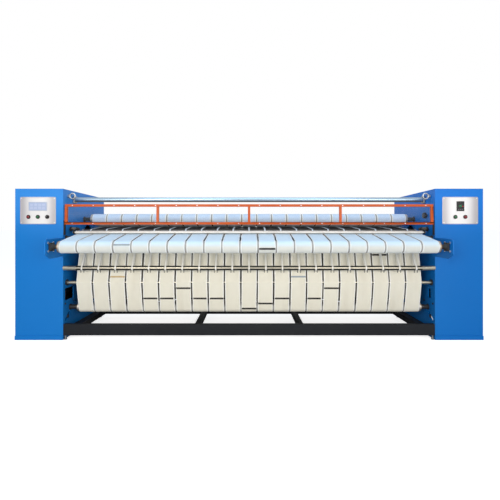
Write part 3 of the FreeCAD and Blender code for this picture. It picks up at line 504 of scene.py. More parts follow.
@dataclass(frozen=True)
class Moulded(Finish):
    """Moulded plastic or rubber with a fine texture."""

    name: str
    colour: Colour
    lit: Colour
    roughness: float = 0.35
    coat: float = 0.0
    glow: float = 0.0
    grain_scale: float = 700.0
    haze_scale: float = 45.0
    relief: float = 0.00003

    def draw(self, graph: Graph) -> None:
        """Adds the plastic's nodes.

        Args:
            graph: the material's nodes.
        """
        where = graph.place()
        grain = graph.noise(where, self.grain_scale, 2.0)
        haze = graph.noise(where, self.haze_scale)
        graph.surface(Base_Color=graph.blend(graph.ease(haze, 0.4, 0.8) * 0.5, self.colour, self.lit),
                      Roughness=self.roughness + grain * 0.10,
                      Normal=graph.bump(grain, self.relief),
                      Coat_Weight=self.coat, Coat_Roughness=0.08,
                      Emission_Color=self.lit, Emission_Strength=self.glow)


@dataclass(frozen=True)
class Pane(Finish):
    """Clear sheet with a faint haze that runs up and down."""

    name: str
    colour: Colour = tint(226, 238, 246)
    cover: float = 0.01
    hazed: float = 0.02

    def draw(self, graph: Graph) -> None:
        """Adds the pane's nodes.

        Args:
            graph: the material's nodes.
        """
        haze = graph.noise(graph.stretched(graph.place(), (3.0, 3.0, 11.0)), 1.0, 4.0)
        graph.surface(Base_Color=self.colour,
                      Roughness=0.06 + haze * 0.05,
                      Alpha=self.cover + graph.ease(haze, 0.45, 0.8) * self.hazed,
                      Specular_IOR_Level=0.2)


# The right blue is the left one painted darker: painted shade, as the key light comes from the left. Each
# third colour is the painted reflection on the paler top.
LEFT_BLUE = Enamel("left_blue_enamel", tint(8, 120, 202), tint(26, 128, 208), tint(60, 150, 236))
RIGHT_BLUE = Enamel("right_blue_enamel", tint(2, 110, 192), tint(12, 118, 200), tint(30, 128, 226))
BEAM_BLACK = Enamel("black_enamel", tint(20, 22, 27), tint(34, 35, 38), roughness=0.50)
GUARD_ORANGE = Enamel("orange_enamel", tint(200, 84, 30), tint(224, 116, 62), cloud_scale=6.0)
# the drum's dark tone is painted shade from between the belts, over polished steel
SHELL_STEEL = Metal("drum_steel", tint(92, 90, 88), tint(66, 62, 58), 0.28, Grain.ROUND)
# their colour under the belts is painted shade between the belts
SHADED_ROLLER = RollerSteel("dark_roller_steel", tint(176, 168, 158), tint(58, 54, 50))
PALE_ROLLER = RollerSteel("pale_roller_steel", tint(186, 178, 166), tint(164, 162, 158))
SHAFT_STEEL = Metal("shaft_steel", tint(70, 68, 68), tint(48, 44, 42), 0.42, Grain.ROUND, 0.1, 0.5, 0.7)
PRESS_STEEL = Metal("press_roller_steel", tint(206, 202, 196), tint(166, 158, 148), 0.48, Grain.ROUND)
ZINC = Metal("zinc_plate", tint(218, 222, 226), tint(178, 184, 188), 0.26)
GREY_STEEL = Metal("grey_steel", tint(150, 152, 154), tint(112, 108, 104), 0.34, Grain.UPRIGHT)
CAST_IRON = Metal("cast_iron", tint(48, 48, 50), tint(74, 64, 56), 0.55, Grain.NONE, 0.15, 0.4, 0.35)
CHAIN_STEEL = Metal("chain_steel", tint(120, 112, 102), tint(72, 62, 52), 0.36)
BRASS = Metal("brass", tint(206, 168, 98), tint(150, 118, 70), 0.30, Grain.ROUND)
BRONZE = Metal("bronze_bush", tint(128, 104, 88), tint(92, 74, 62), 0.42, Grain.ROUND)
PIPE_STEEL = Metal("pipe_steel", tint(168, 170, 172), tint(128, 122, 114), 0.36)
COLLAR = Metal("collar_steel", tint(60, 56, 56), tint(40, 38, 38), 0.30)
BORDER = Metal("border_steel", tint(168, 164, 166), tint(132, 128, 130), 0.30)
DARK_BOLT = Metal("dark_bolt_steel", tint(86, 90, 96), tint(60, 58, 56), 0.40)
BLACK_PLASTIC = Moulded("black_plastic", tint(16, 16, 18), tint(32, 32, 36), 0.42)
RED_PLASTIC = Moulded("red_plastic", tint(118, 4, 16), tint(150, 12, 26), 0.30, 0.25)
GREEN_PLASTIC = Moulded("green_plastic", tint(2, 84, 42), tint(8, 108, 58), 0.30, 0.25)
SCREEN = Moulded("screen_glass", tint(176, 190, 222), tint(190, 202, 230), 0.18, 0.3)
BEZEL = Moulded("screen_bezel", tint(188, 194, 210), tint(204, 206, 216), 0.34)
INK = Moulded("dark_window", tint(10, 12, 12), tint(18, 22, 20), 0.12, 0.5)
TILE = Moulded("screen_tiles", tint(190, 200, 228), tint(200, 210, 234), 0.2, 0.3)
GREEN_LIGHT = Moulded("green_digits", tint(30, 150, 84), tint(40, 190, 110), 0.3, glow=0.35)
RED_LIGHT = Moulded("red_lamp", tint(210, 20, 20), tint(240, 40, 36), 0.3, glow=0.5)
KEY_GREY = Moulded("grey_keys", tint(96, 98, 100), tint(120, 122, 124), 0.5)
WHITE_MARK = Moulded("white_mark", tint(226, 226, 222), tint(240, 240, 236), 0.5)
LACING = Moulded("lacing_strip", tint(30, 25, 22), tint(50, 42, 36), 0.6)
PALE_LACING = Moulded("pale_lacing_strip", tint(196, 170, 128), tint(210, 190, 152), 0.7)
GREY_LACING = Moulded("grey_lacing_strip", tint(150, 160, 168), tint(172, 180, 186), 0.7)
IRON_FELT = Felt("iron_felt", tint(238, 233, 217), tint(216, 208, 188), tint(248, 246, 240),
                 width=0.150, hem=0.010, cool=tint(204, 224, 250), cool_from=0.88, cool_to=1.20)
FEED_FELT = Felt("feed_felt", tint(220, 221, 215), tint(206, 206, 200), tint(236, 238, 238),
                 width=0.150, hem=0.010, cool=tint(212, 236, 254))
TAPE_CLOTH = Felt("tape_cloth", tint(236, 234, 226), tint(210, 204, 192), tint(250, 248, 244),
                  width=0.015, hem=0.0012, cool=tint(214, 226, 238), rib=0.0009, relief=0.00012)
CLEAR = Pane("guard_pane")


# ---- meshes -------------------------------------------------------------------------------------
def joined(node: str) -> Mesh:
    """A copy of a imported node's loose triangles, merged at their corners.

    Args:
        node: its name.

    Returns:
        The copy, with all its small triangles.
    """
    mesh = bmesh.new()
    mesh.from_mesh(frame["nodes"][node].data)
    bmesh.ops.remove_doubles(mesh, verts=mesh.verts, dist=WELD)
    return mesh


def welded(node: str) -> Mesh:
    """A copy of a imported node's mesh whose flat faces are whole.

    Args:
        node: its name.

    Returns:
        The copy.
    """
    mesh = joined(node)
    bmesh.ops.dissolve_limit(mesh, angle_limit=FLAT_ANGLE, verts=mesh.verts, edges=mesh.edges)
    return mesh


def islands(mesh: Mesh) -> list[list[bmesh.types.BMVert]]:
    """The points of each loose part of a mesh.

    Args:
        mesh: a mesh whose faces are joined.

    Returns:
        One list for each part, in the order of their first points.
    """
    left = set(mesh.verts)
    parts = []
    for first in mesh.verts:
        if first not in left:
            continue
        left.discard(first)
        part = [first]
        for vert in part:
            for edge in vert.link_edges:
                other = edge.other_vert(vert)
                if other in left:
                    left.discard(other)
                    part.append(other)
        parts.append(part)
    return parts


def box_of(verts: Iterable[bmesh.types.BMVert]) -> Box:
    """Lowest and highest corner of some points."""
    rows = list(zip(*(vert.co for vert in verts)))
    return Vector(min(row) for row in rows), Vector(max(row) for row in rows)


def centre_of(box: Box) -> Vector:
    """The middle of a box."""
    return (box[0] + box[1]) / 2


def half_height(box: Box) -> float:
    """Half of a box's height, which is the radius of a bar along X."""
    return (box[1].z - box[0].z) / 2


def solid_boxes(node: str) -> list[Box]:
    """The box of each separate solid of a node.

    Args:
        node: its name.

    Returns:
        The boxes, from left to right.
    """
    mesh = joined(node)
    boxes = [box_of(part) for part in islands(mesh)]
    mesh.free()
    return sorted(boxes, key=lambda box: tuple(box[0]))


def parted(mesh: Mesh) -> list[Mesh]:
    """One mesh for each loose part of a mesh.

    Args:
        mesh: the mesh, which is freed.

    Returns:
        The parts.
    """
    mesh.verts.index_update()
    parts = []
    for points in islands(mesh):
        kept = {vert.index for vert in points}
        part = mesh.copy()
        bmesh.ops.delete(part, geom=[v for v in part.verts if v.index not in kept], context="VERTS")
        parts.append(part)
    mesh.free()
    return parts


def bevelled(mesh: Mesh, width: float, segments: int = 2) -> Mesh:
    """Rounds a mesh's sharp edges.

    Args:
        mesh: the mesh, which is changed.
        width: the bevel's width.
        segments: how many faces it has across.

    Returns:
        The same mesh.
    """
    sharp = [e for e in mesh.edges if len(e.link_faces) == 2 and e.calc_face_angle(0.0) > SHARP]
    bmesh.ops.bevel(mesh, geom=sharp, offset=width, offset_type="OFFSET", affect="EDGES", segments=segments,
                    profile=0.5, material=-1, clamp_overlap=True)
    return mesh


def gathered(meshes: Iterable[Mesh]) -> Mesh:
    """One mesh from several.

    Args:
        meshes: the meshes, which are freed.

    Returns:
        A new mesh that holds them all.
    """
    whole = bmesh.new()
    data = bpy.data.meshes.new("spare")
    for mesh in meshes:
        mesh.to_mesh(data)
        mesh.free()
        whole.from_mesh(data)
    bpy.data.meshes.remove(data)
    return whole


class Side(Enum):
    """One end of the machine, by its sign along X."""

    LEFT = -1
    RIGHT = 1

    @property
    def word(self) -> str:
        """What it is called in the names of pieces."""
        return self.name.lower()

    @classmethod
    def of(cls, box: Box) -> "Side":
        """The end that a box is at."""
        return cls.RIGHT if box[0].x > 0 else cls.LEFT

    def half(self, mesh: Mesh) -> Mesh:
        """A mesh without what it has at the other end."""
        bmesh.ops.delete(mesh, geom=[v for v in mesh.verts if v.co.x * self.value < 0], context="VERTS")
        return mesh


class Axis(Enum):
    """The way that a turned piece lies: a turn that takes X to it."""

    X = Matrix.Identity(4)
    Y = Matrix.Rotation(math.pi / 2, 4, "Z")
    Z = Matrix.Rotation(-math.pi / 2, 4, "Y")


def turned(profile: Profile, centre: Vector, axis: Axis = Axis.X, steps: int = 48) -> Mesh:
    """A piece made on a lathe.

    Args:
        profile: (place along the axis from centre, radius) points.
        centre: a point of the axis.
        axis: the way it lies.
        steps: sides of its round.

    Returns:
        A closed mesh where the profile starts and ends on the axis or meets itself.
    """
    mesh = bmesh.new()
    points = [mesh.verts.new((along, 0.0, radius)) for along, radius in profile]
    edges = [mesh.edges.new(pair) for pair in zip(points, points[1:])]
    bmesh.ops.spin(mesh, geom=points + edges, cent=(0, 0, 0), axis=(1, 0, 0), dvec=(0, 0, 0),
                   angle=FULL_TURN, steps=steps, use_merge=True)
    bmesh.ops.remove_doubles(mesh, verts=mesh.verts, dist=WELD)
    bmesh.ops.recalc_face_normals(mesh, faces=mesh.faces)
    bmesh.ops.transform(mesh, matrix=Matrix.Translation(centre) @ axis.value, verts=mesh.verts)
    return mesh


def rounded(start: float, end: float, radius: float, edge: float) -> Profile:
    """The profile of a solid bar with softened ends.

    Args:
        start, end: its two ends along the axis.
        radius: its own.
        edge: the radius of its rounded rims.

    Returns:
        The profile, from axis to axis.
    """
    inner = edge * (1 - math.sqrt(0.5))
    return [(start, 0.0), (start, radius - edge), (start + inner, radius - inner), (start + edge, radius),
            (end - edge, radius), (end - inner, radius - inner), (end, radius - edge), (end, 0.0)]


def plain_bar(start: float, end: float, radius: float) -> Profile:
    """A solid bar's profile with edges that suit its size."""
    return rounded(start, end, radius, min(1.5 * MM, radius / 3, (end - start) / 4))


def dished_tube(start: float, end: float, radius: float, wall: float = 6 * MM, depth: float = 5 * MM,
                edge: float = 1.2 * MM) -> Profile:
    """The profile of a roller's tube, whose end discs lie inside its rims.

    Args:
        start, end: its two ends along the axis.
        radius: its own.
        wall: the tube's thickness.
        depth: how far in the end discs lie.
        edge: the width of its bevelled rims.

    Returns:
        The profile, from axis to axis.
    """
    return [(start + depth, 0.0), (start + depth, radius - wall), (start, radius - wall),
            (start, radius - edge), (start + edge, radius), (end - edge, radius), (end, radius - edge),
            (end, radius - wall), (end - depth, radius - wall), (end - depth, 0.0)]


def flat_ring(width: float, inside: float, outside: float) -> Profile:
    """The profile of a ring with square edges."""
    return [(0.0, inside), (0.0, outside), (width, outside), (width, inside), (0.0, inside)]


def round_bar(box: Box, steps: int, profile: Callable[[float, float, float], Profile]) -> Mesh:
    """A bar along X that fills a box.

    Args:
        box: its box.
        steps: sides of its round.
        profile: makes its profile from its start, end and radius.

    Returns:
        The bar.
    """
    half = (box[1].x - box[0].x) / 2
    return turned(profile(-half, half, half_height(box)), centre_of(box), Axis.X, steps)


def block(low: Vector, high: Vector, edge: float = 1 * MM, segments: int = 2) -> Mesh:
    """A box with rounded edges.

    Args:
        low, high: its two corners.
        edge: the bevel's width, which is less where the box is thinner than two of it.
        segments: how many faces the bevel has across.

    Returns:
        The box.
    """
    mesh = bmesh.new()
    matrix = Matrix.Translation((low + high) / 2) @ Matrix.Diagonal((*(high - low), 1.0))
    bmesh.ops.create_cube(mesh, size=1.0, matrix=matrix)
    return bevelled(mesh, edge, segments)


def on_front(box: Box, area: tuple[float, float, float, float], proud: float, sunk: float = 0.0) -> Mesh:
    """A flat block on the front of an instrument.

    Args:
        box: the instrument's box, whose front is its lowest Y.
        area: left, foot, right and head of the block, as shares of the front.
        proud: how far it stands out.
        sunk: how far it reaches in.

    Returns:
        The block.
    """
    low, high = box
    wide, tall = high.x - low.x, high.z - low.z
    left, foot, right, head = area
    return block(Vector((low.x + wide * left, low.y - proud, low.z + tall * foot)),
                 Vector((low.x + wide * right, low.y + sunk, low.z + tall * head)))


def even_shading(data: bpy.types.Mesh) -> None:
    """Keeps large faces flat beside small bevels: corner normals weighted by the faces' areas.

    Args:
        data: a mesh whose sharp edges are marked.
    """
    mesh = bmesh.new()
    mesh.from_mesh(data)
    normals: list[Vector] = [Vector()] * len(data.loops)
    for vert in mesh.verts:
        todo = set(vert.link_loops)
        for first in vert.link_loops:
            if first not in todo:
                continue
            todo.discard(first)
            fan = [first]
            for loop in fan:
                for edge in (loop.edge, loop.link_loop_prev.edge):
                    if edge.smooth and len(edge.link_loops) == 2:
                        for near in (n for face in edge.link_faces for n in face.loops if n in todo):
                            todo.discard(near)
                            fan.append(near)
            whole = sum((loop.face.normal * loop.face.calc_area() for loop in fan), Vector())
            for loop in fan:
                normals[loop.index] = whole.normalized() if whole.length else loop.face.normal.copy()
    mesh.free()
    data.normals_split_custom_set(normals)


def piece(mesh: Mesh, name: str, finish: Finish, body: str, stands_for: Sequence[str] = (),
          crease: float = CREASE, even: bool = True) -> bpy.types.Object:
    """Makes a finished piece from a mesh.

    Args:
        mesh: its shape, which is freed.
        name: the piece's name.
        finish: what it is finished with.
        body: the moving body that it rides on.
        stands_for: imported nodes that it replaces.
        crease: the angle from which an edge is drawn sharp.
        even: whether large faces are kept flat beside small ones.

    Returns:
        The new object.
    """
    data = bpy.data.meshes.new(name)
    mesh.to_mesh(data)
    mesh.free()
    data.polygons.foreach_set("use_smooth", [True] * len(data.polygons))
    data.set_sharp_from_angle(angle=crease)
    if even:
        even_shading(data)
    data.materials.append(material(finish))
    made = bpy.data.objects.new(name, data)
    bpy.context.scene.collection.objects.link(made)
    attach(made, body)
    if stands_for:
        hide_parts(*stands_for)
    LOG.info("%s: %d faces on %s", name, len(data.polygons), body)
    return made


def body_of(node: str) -> str:
    """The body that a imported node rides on."""
    return frame["nodes"][node]["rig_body"]


def redone(node: str, mesh: Mesh, finish: Finish) -> bpy.types.Object:
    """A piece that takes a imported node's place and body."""
    return piece(mesh, node + "_piece", finish, body_of(node), [node])


def softened(node: str, finish: Finish, width: float, segments: int = 2) -> bpy.types.Object:
    """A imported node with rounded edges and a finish."""
    return redone(node, bevelled(welded(node), width, segments), finish)


def painted(node: str, finish: Finish) -> None:
    """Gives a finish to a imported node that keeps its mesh.

    Args:
        node: its name.
        finish: the finish.
    """
    data = frame["nodes"][node].data
    data.materials.clear()
    data.materials.append(material(finish))


def joint_place(name: str) -> Vector:
    """A point of a joint's axis."""
    return Vector(next(j["pos_m"] for j in frame["joints"] if j["name"] == name))


# ---- belts and tapes ----------------------------------------------------------------------------
@dataclass(frozen=True)
class Round:
    """A circle that a band goes round, with a radius under zero where it turns the other way."""

    y: float
    z: float
    radius: float

    def touch(self, heading: float) -> tuple[float, float]:
        """The point of the circle where a band has this heading."""
        return self.y + self.radius * math.sin(heading), self.z - self.radius * math.cos(heading)


@dataclass(frozen=True)
class Station:
    """A place on a band's path."""

    y: float
    z: float
    heading: float
    along: float
    free: float                 # 0 on a roller, up to 1 in the middle of a span

    def out(self, lift: float) -> tuple[float, float]:
        """The point at a height over the band's inner face."""
        return self.y + lift * math.sin(self.heading), self.z - lift * math.cos(self.heading)


class Path:
    """The closed line that a band's inner face follows."""

    ARC_STEP = math.radians(7.5)
    RUN_STEP = 0.055
    FULL_BOW = 0.3              # spans from this length on bow in full

    def __init__(self, rounds: Sequence[Round]) -> None:
        """Walks round the circles.

        Args:
            rounds: the circles, in the order in which the band meets them.
        """
        self.stations: list[Station] = []
        self.length = 0.0
        headings = []
        for here, there in zip(rounds, [*rounds[1:], rounds[0]]):
            run = math.hypot(there.y - here.y, there.z - here.z)
            headings.append(math.atan2(there.z - here.z, there.y - here.y)
                            - math.asin((there.radius - here.radius) / run))
        for index, here in enumerate(rounds):
            arrive, leave = headings[index - 1], headings[index]
            turn = (leave - arrive) % FULL_TURN
            if here.radius < 0:
                turn -= FULL_TURN
            self._arc(here, arrive, turn)
            there = rounds[(index + 1) % len(rounds)]
            self._run(here.touch(leave), there.touch(leave), leave)

    def _arc(self, circle: Round, arrive: float, turn: float) -> None:
        """Adds the stations round one circle.

        Args:
            circle: the circle.
            arrive: the heading with which the band comes to it.
            turn: how far the band turns on it.
        """
        steps = max(2, math.ceil(abs(turn) / self.ARC_STEP))
        for step in range(steps):
            heading = arrive + turn * step / steps
            y, z = circle.touch(heading)
            self.stations.append(Station(y, z, heading, self.length, 0.0))
            self.length += abs(circle.radius * turn) / steps

    def _run(self, start: tuple[float, float], end: tuple[float, float], heading: float) -> None:
        """Adds the stations of one straight span.

        Args:
            start, end: its two ends, in Y and Z.
            heading: its heading.
        """
        run = math.dist(start, end)
        steps = max(1, math.ceil(run / self.RUN_STEP))
        for step in range(steps):
            share = step / steps
            y, z = (a + (b - a) * share for a, b in zip(start, end))
            free = math.sin(math.pi * share) * min(1.0, run / self.FULL_BOW)
            self.stations.append(Station(y, z, heading, self.length, free))
            self.length += run / steps

    def middle(self) -> float:
        """The Y about which its stations lie."""
        return sum(s.y for s in self.stations) / len(self.stations)

    def in_front(self, height: float) -> Station:
        """A place on its front, on an upright stretch where there is one.

        Args:
            height: the height wanted.

        Returns:
            The nearest station.
        """
        middle = self.middle()
        return min((s for s in self.stations if s.y <= middle),
                   key=lambda s: abs(s.z - height) + abs(math.sin(s.heading) + 1) * 0.02)

    def hidden(self, number: int) -> Station:
        """A place low down or at the back, out of sight.

        Args:
            number: the band's number, because each has another place.

        Returns:
            The station there.
        """
        middle = self.middle()
        low = min(s.z for s in self.stations)
        tall = max(s.z for s in self.stations) - low
        away = [s for s in self.stations if s.free > 0.2 and s.z < low + tall * 0.4
                and (s.y > middle or tall < 0.3)]
        return away[(number * 5) % len(away)]


@dataclass(frozen=True)
class Section:
    """A band's section: (place across, lift over the inner face) points round it, in metres."""

    points: tuple[tuple[float, float], ...]

    @classmethod
    def hemmed(cls, width: float, thick: float, hem: float, sunk: float) -> "Section":
        """A section with raised hems at both edges.

        Args:
            width: across the band.
            thick: its thickness at the hems.
            hem: the width of a hem.
            sunk: how much thinner the middle is.

        Returns:
            The section.
        """
        soft = thick * 0.35
        edge = [(0.0, thick * 0.3), (0.0, thick - soft), (soft, thick), (hem, thick)]
        half = [*edge, (hem * 1.25, thick - sunk)]
        top = half + [(width / 2, thick - sunk)] + [(width - x, lift) for x, lift in reversed(half)]
        return cls(tuple(top + [(width - soft, 0.0), (width / 2, 0.0), (soft, 0.0)]))

    @classmethod
    def plain(cls, width: float, thick: float) -> "Section":
        """A thin tape's section."""
        soft = thick * 0.4
        return cls(((0.0, soft), (soft, thick), (width - soft, thick), (width, soft), (width - soft, 0.0),
                    (soft, 0.0)))


@dataclass(frozen=True)
class Band:
    """One endless belt or tape, whose number picks its own stretch of each noise."""

    MAP = "lengths"

    path: Path
    section: Section
    start: float                # its left edge
    seed: int
    wave: float                 # how far its free spans bow
    cup: float = 0.0            # how far its edges curl out on free spans
    stray: float = 3.5 * MM     # how far it wanders sideways

    def lift(self, station: Station, across: float, share: float) -> float:
        """How far a point stands off its place, where the band runs free.

        Args:
            station: its place along the band.
            across: its place across the band.
            share: the same as a share of the width.

        Returns:
            The distance outwards.
        """
        drift = noise.noise(Vector((self.seed * 7.3, station.along * 1.7, 0.4)))
        ripple = noise.noise(Vector((across * 9.0, station.along * 5.0, self.seed * 3.1)))
        return station.free * (self.wave * (0.6 + drift) + self.wave * 0.5 * ripple
                               + self.cup * (2 * share - 1) ** 2)

    def sway(self, station: Station) -> float:
        """How far the band has strayed sideways.

        Args:
            station: the place along it.

        Returns:
            The distance to the right, the same at both ends of the loop.
        """
        turn = FULL_TURN * station.along / self.path.length
        way = Vector((self.seed * 5.1, math.cos(turn) * 1.6, math.sin(turn) * 1.6))
        return self.stray * noise.noise(way)

    def mesh(self) -> Mesh:
        """The band as a closed loop with its own map of lengths."""
        mesh = bmesh.new()
        index = mesh.verts.layers.int.new("index")
        laid = mesh.loops.layers.uv.new(self.MAP)
        width = max(x for x, _ in self.section.points)
        shift = self.seed * 0.37        # moves the felt's pattern from band to band

        def settle(verts: Iterable[bmesh.types.BMVert], station: Station) -> None:
            """Puts one ring of points at a station."""
            for vert in verts:
                across, lift = self.section.points[vert[index]]
                off = lift + self.lift(station, across, across / width)
                vert.co = (self.start + self.sway(station) + across, *station.out(off))

        ring = [mesh.verts.new() for _ in self.section.points]
        for number, vert in enumerate(ring):
            vert[index] = number
        stations = self.path.stations
        settle(ring, stations[0])
        edges = [mesh.edges.new(pair) for pair in zip(ring, ring[1:] + ring[:1])]
        marks = [s.along for s in stations] + [self.path.length]
        for station, before, past in zip(stations[1:] + stations[:1], marks, marks[1:]):
            grown = bmesh.ops.extrude_edge_only(mesh, edges=edges)["geom"]
            fresh = {g for g in grown if isinstance(g, bmesh.types.BMVert)}
            edges = [g for g in grown if isinstance(g, bmesh.types.BMEdge)
                     and all(v in fresh for v in g.verts)]
            settle(fresh, station)
            for face in (g for g in grown if isinstance(g, bmesh.types.BMFace)):
                for loop in face.loops:
                    across = self.section.points[loop.vert[index]][0]
                    loop[laid].uv = (across, (past if loop.vert in fresh else before) + shift)
        bmesh.ops.remove_doubles(mesh, verts=mesh.verts, dist=WELD)
        bmesh.ops.recalc_face_normals(mesh, faces=mesh.faces)
        return mesh


@dataclass(frozen=True)
class Lacing:
    """The joint of a felt belt: a pin strip with a row of wire hooks through both ends."""

    width: float
    thick: float                # the belt's
    height: float = 16.0 * MM
    strip_inset: float = 2.0 * MM
    strip_proud: float = 0.7 * MM
    hook_inset: float = 3.0 * MM
    hook_pitch: float = 7.5 * MM
    hook_reach: float = 3.5 * MM
    hook_wide: float = 1.6 * MM
    hook_proud: float = 0.9 * MM
    hook_sunk: float = 0.3 * MM
    edge: float = 0.3 * MM

    def seated(self, parts: Iterable[Mesh], band: Band, station: Station) -> Mesh:
        """Parts of a joint, moved to their place on a band.

        Args:
            parts: the parts, with X across the band, Y along it and -Z outwards.
            band: the band.
            station: the place along it.

        Returns:
            One mesh.
        """
        mesh = gathered(parts)
        off = band.lift(station, self.width / 2, 0.5)
        seat = (Matrix.Translation((band.start, *station.out(0.0)))
                @ Matrix.Rotation(station.heading, 4, "X") @ Matrix.Translation((0.0, 0.0, -off)))
        bmesh.ops.transform(mesh, matrix=seat, verts=mesh.verts)
        return mesh

    def strip(self, band: Band, station: Station) -> Mesh:
        """The strip over a joint's pin."""
        low = Vector((self.strip_inset, -self.height / 2, -self.thick - self.strip_proud))
        high = Vector((self.width - self.strip_inset, self.height / 2, -self.thick * 0.6))
        return self.seated([block(low, high, self.edge, 1)], band, station)

    def hooks(self, band: Band, station: Station) -> Mesh:
        """The wire hooks on both sides of a joint's strip.

        Args:
            band: the band.
            station: the place along it.

        Returns:
            One mesh.
        """
        parts = []
        for number in range(int((self.width - 2 * self.hook_inset) / self.hook_pitch) + 1):
            x = self.hook_inset + number * self.hook_pitch
            for side in (-1, 1):
                near, far = sorted(side * reach for reach in (self.height / 2,
                                                              self.height / 2 + self.hook_reach))
                parts.append(block(Vector((x, near, -self.thick - self.hook_proud)),
                                   Vector((x + self.hook_wide, far, -self.thick + self.hook_sunk)),
                                   self.edge, 1))
        return self.seated(parts, band, station)


@dataclass
class Belts:
    """The ironing belts, the feed belts and the guide tapes."""

    count: int = 21
    width: float = 0.150
    pitch: float = 0.164
    hem: float = 10 * MM
    hem_proud: float = 0.5 * MM
    iron_thick: float = 3.5 * MM
    feed_thick: float = 4.0 * MM
    tape_width: float = 0.015
    tape_thick: float = 1.5 * MM
    gap: float = 0.3 * MM
    crease: float = math.radians(60)
    iron_laced: dict[int, float] = field(default_factory=lambda: {
        2: 0.633, 4: 0.382, 5: 0.410, 6: 0.506, 7: 0.405, 8: 0.392, 10: 0.298, 11: 0.365, 12: 0.371,
        13: 0.633, 14: 0.401, 15: 0.520, 18: 0.807})     # height of each joint that shows
    feed_laced: dict[int, float] = field(default_factory=lambda: {3: 0.952, 11: 0.915})
    brown: tuple[int, ...] = (2,)           # ironing belts whose joint strip is brown
    grey: tuple[int, ...] = (13,)           # ironing belts whose joint strip is grey
    feed_grey: tuple[int, ...] = (3,)       # feed belts whose joint strip is grey

    def starts(self) -> list[float]:
        """Left edge of each belt."""
        return [(i - (self.count - 1) / 2) * self.pitch - self.width / 2 for i in range(self.count)]

    def on_roller(self, node: str, sign: int = 1, extra: float = 0.0) -> Round:
        """The circle of a band's inner face on a roller or rod.

        Args:
            node: the roller.
            sign: -1 where the band turns the other way.
            extra: what lies between the roller and the band.

        Returns:
            The circle.
        """
        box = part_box(node)
        centre = centre_of(box)
        return Round(centre.y, centre.z, sign * (half_height(box) + self.gap + extra))

    def iron_path(self) -> Path:
        """Round the drum and the six rollers and rods of the ironing section."""
        drum = joint_place("drum_spin")
        on_drum = half_height(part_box("drum_shell")) + 2 * self.gap + self.tape_thick + self.iron_thick
        return Path([Round(drum.y, drum.z, -on_drum),
                     *(self.on_roller(node) for node in ("turn_roller", "bend_rod", "bottom_roller",
                                                         "rear_bottom_roller", "rear_top_roller",
                                                         "top_roller"))])

    def tape_path(self) -> Path:
        """Round the turn roller over its belt, the exit rod, the idler and the drum."""
        low, high = max(solid_boxes("exit_rod"), key=lambda box: box[1].x - box[0].x)
        radius = (high.y - low.y) / 2
        return Path([self.on_roller("turn_roller", extra=self.iron_thick + self.gap),
                     Round((low.y + high.y) / 2, high.z - radius, -(radius + self.gap + self.tape_thick)),
                     self.on_roller("tape_idler", -1, self.tape_thick),
                     self.on_roller("drum_shell", -1, self.tape_thick)])

    def feed_path(self) -> Path:
        """Round the two feed rollers."""
        return Path([self.on_roller("feed_front_roller"), self.on_roller("feed_rear_roller")])

    def laid(self, node: str, name: str, path: Path, section: Section, starts: Sequence[float],
             finish: Finish, wave: float, cup: float, width: float, over: Sequence[str]) -> list[Band]:
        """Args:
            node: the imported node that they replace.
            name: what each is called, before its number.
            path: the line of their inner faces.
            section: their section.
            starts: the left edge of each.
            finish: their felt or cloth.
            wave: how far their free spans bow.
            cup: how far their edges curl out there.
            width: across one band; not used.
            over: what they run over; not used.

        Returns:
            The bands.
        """
        bands = []
        for number, start in enumerate(starts):
            band = Band(path, section, start, number, wave, cup)
            made = piece(band.mesh(), f"{name}_{number + 1:02d}", finish, body_of(node),
                         [node], self.crease, even=False)
            bands.append(band)
        return bands

    def build(self) -> None:
        """Makes every band and its joint."""
        starts = self.starts()
        iron = self.laid("ironing_belts", "ironing_belt", self.iron_path(),
                         Section.hemmed(self.width, self.iron_thick, self.hem, self.hem_proud), starts,
                         IRON_FELT, 1.2 * MM, 1.0 * MM, self.width,
                         ["drum_shell", "top_roller", "bottom_roller"])
        feed = self.laid("feed_belts", "feed_belt", self.feed_path(),
                         Section.hemmed(self.width, self.feed_thick, self.hem, self.hem_proud), starts,
                         FEED_FELT, 0.8 * MM, 0.6 * MM, self.width,
                         ["feed_front_roller", "feed_rear_roller"])
        self.laid("guide_tapes", "guide_tape", self.tape_path(),
                  Section.plain(self.tape_width, self.tape_thick),
                  [start + (self.width - self.tape_width) / 2 for start in starts],
                  TAPE_CLOTH, 0.5 * MM, 0.0, self.tape_width, ["drum_shell", "tape_idler", "exit_rod"])
        self.joints(iron, feed)

    def joints(self, iron: Sequence[Band], feed: Sequence[Band]) -> None:
        """Laces every felt belt, where its joint shows in the photograph or else out of sight.

        Args:
            iron: the ironing belts.
            feed: the feed belts.
        """
        dark, brown, grey, hooks = [], [], [], []
        for bands, laced, thick, browns, greys in (
                (iron, self.iron_laced, self.iron_thick, self.brown, self.grey),
                (feed, self.feed_laced, self.feed_thick, (), self.feed_grey)):
            joint = Lacing(self.width, thick)
            for number, band in enumerate(bands):
                shown = number in laced
                station = band.path.in_front(laced[number]) if shown else band.path.hidden(number)
                strips = brown if number in browns else grey if number in greys else dark
                strips.append(joint.strip(band, station))
                if strips is dark:
                    hooks.append(joint.hooks(band, station))
        for meshes, name, finish, slot in ((dark, "belt_joint_strips", LACING, "iron_felt"),
                                           (brown, "brown_joint_strips", PALE_LACING, "iron_felt"),
                                           (grey, "grey_joint_strips", GREY_LACING, "iron_felt"),
                                           (hooks, "belt_joint_hooks", CHAIN_STEEL, "chain_steel")):
            piece(gathered(meshes), name, finish, "frame")


# ---- sub-assemblies -----------------------------------------------------------------------------
# the right cabinet's blue carries painted shade
BLUES = {Side.LEFT: LEFT_BLUE, Side.RIGHT: RIGHT_BLUE}


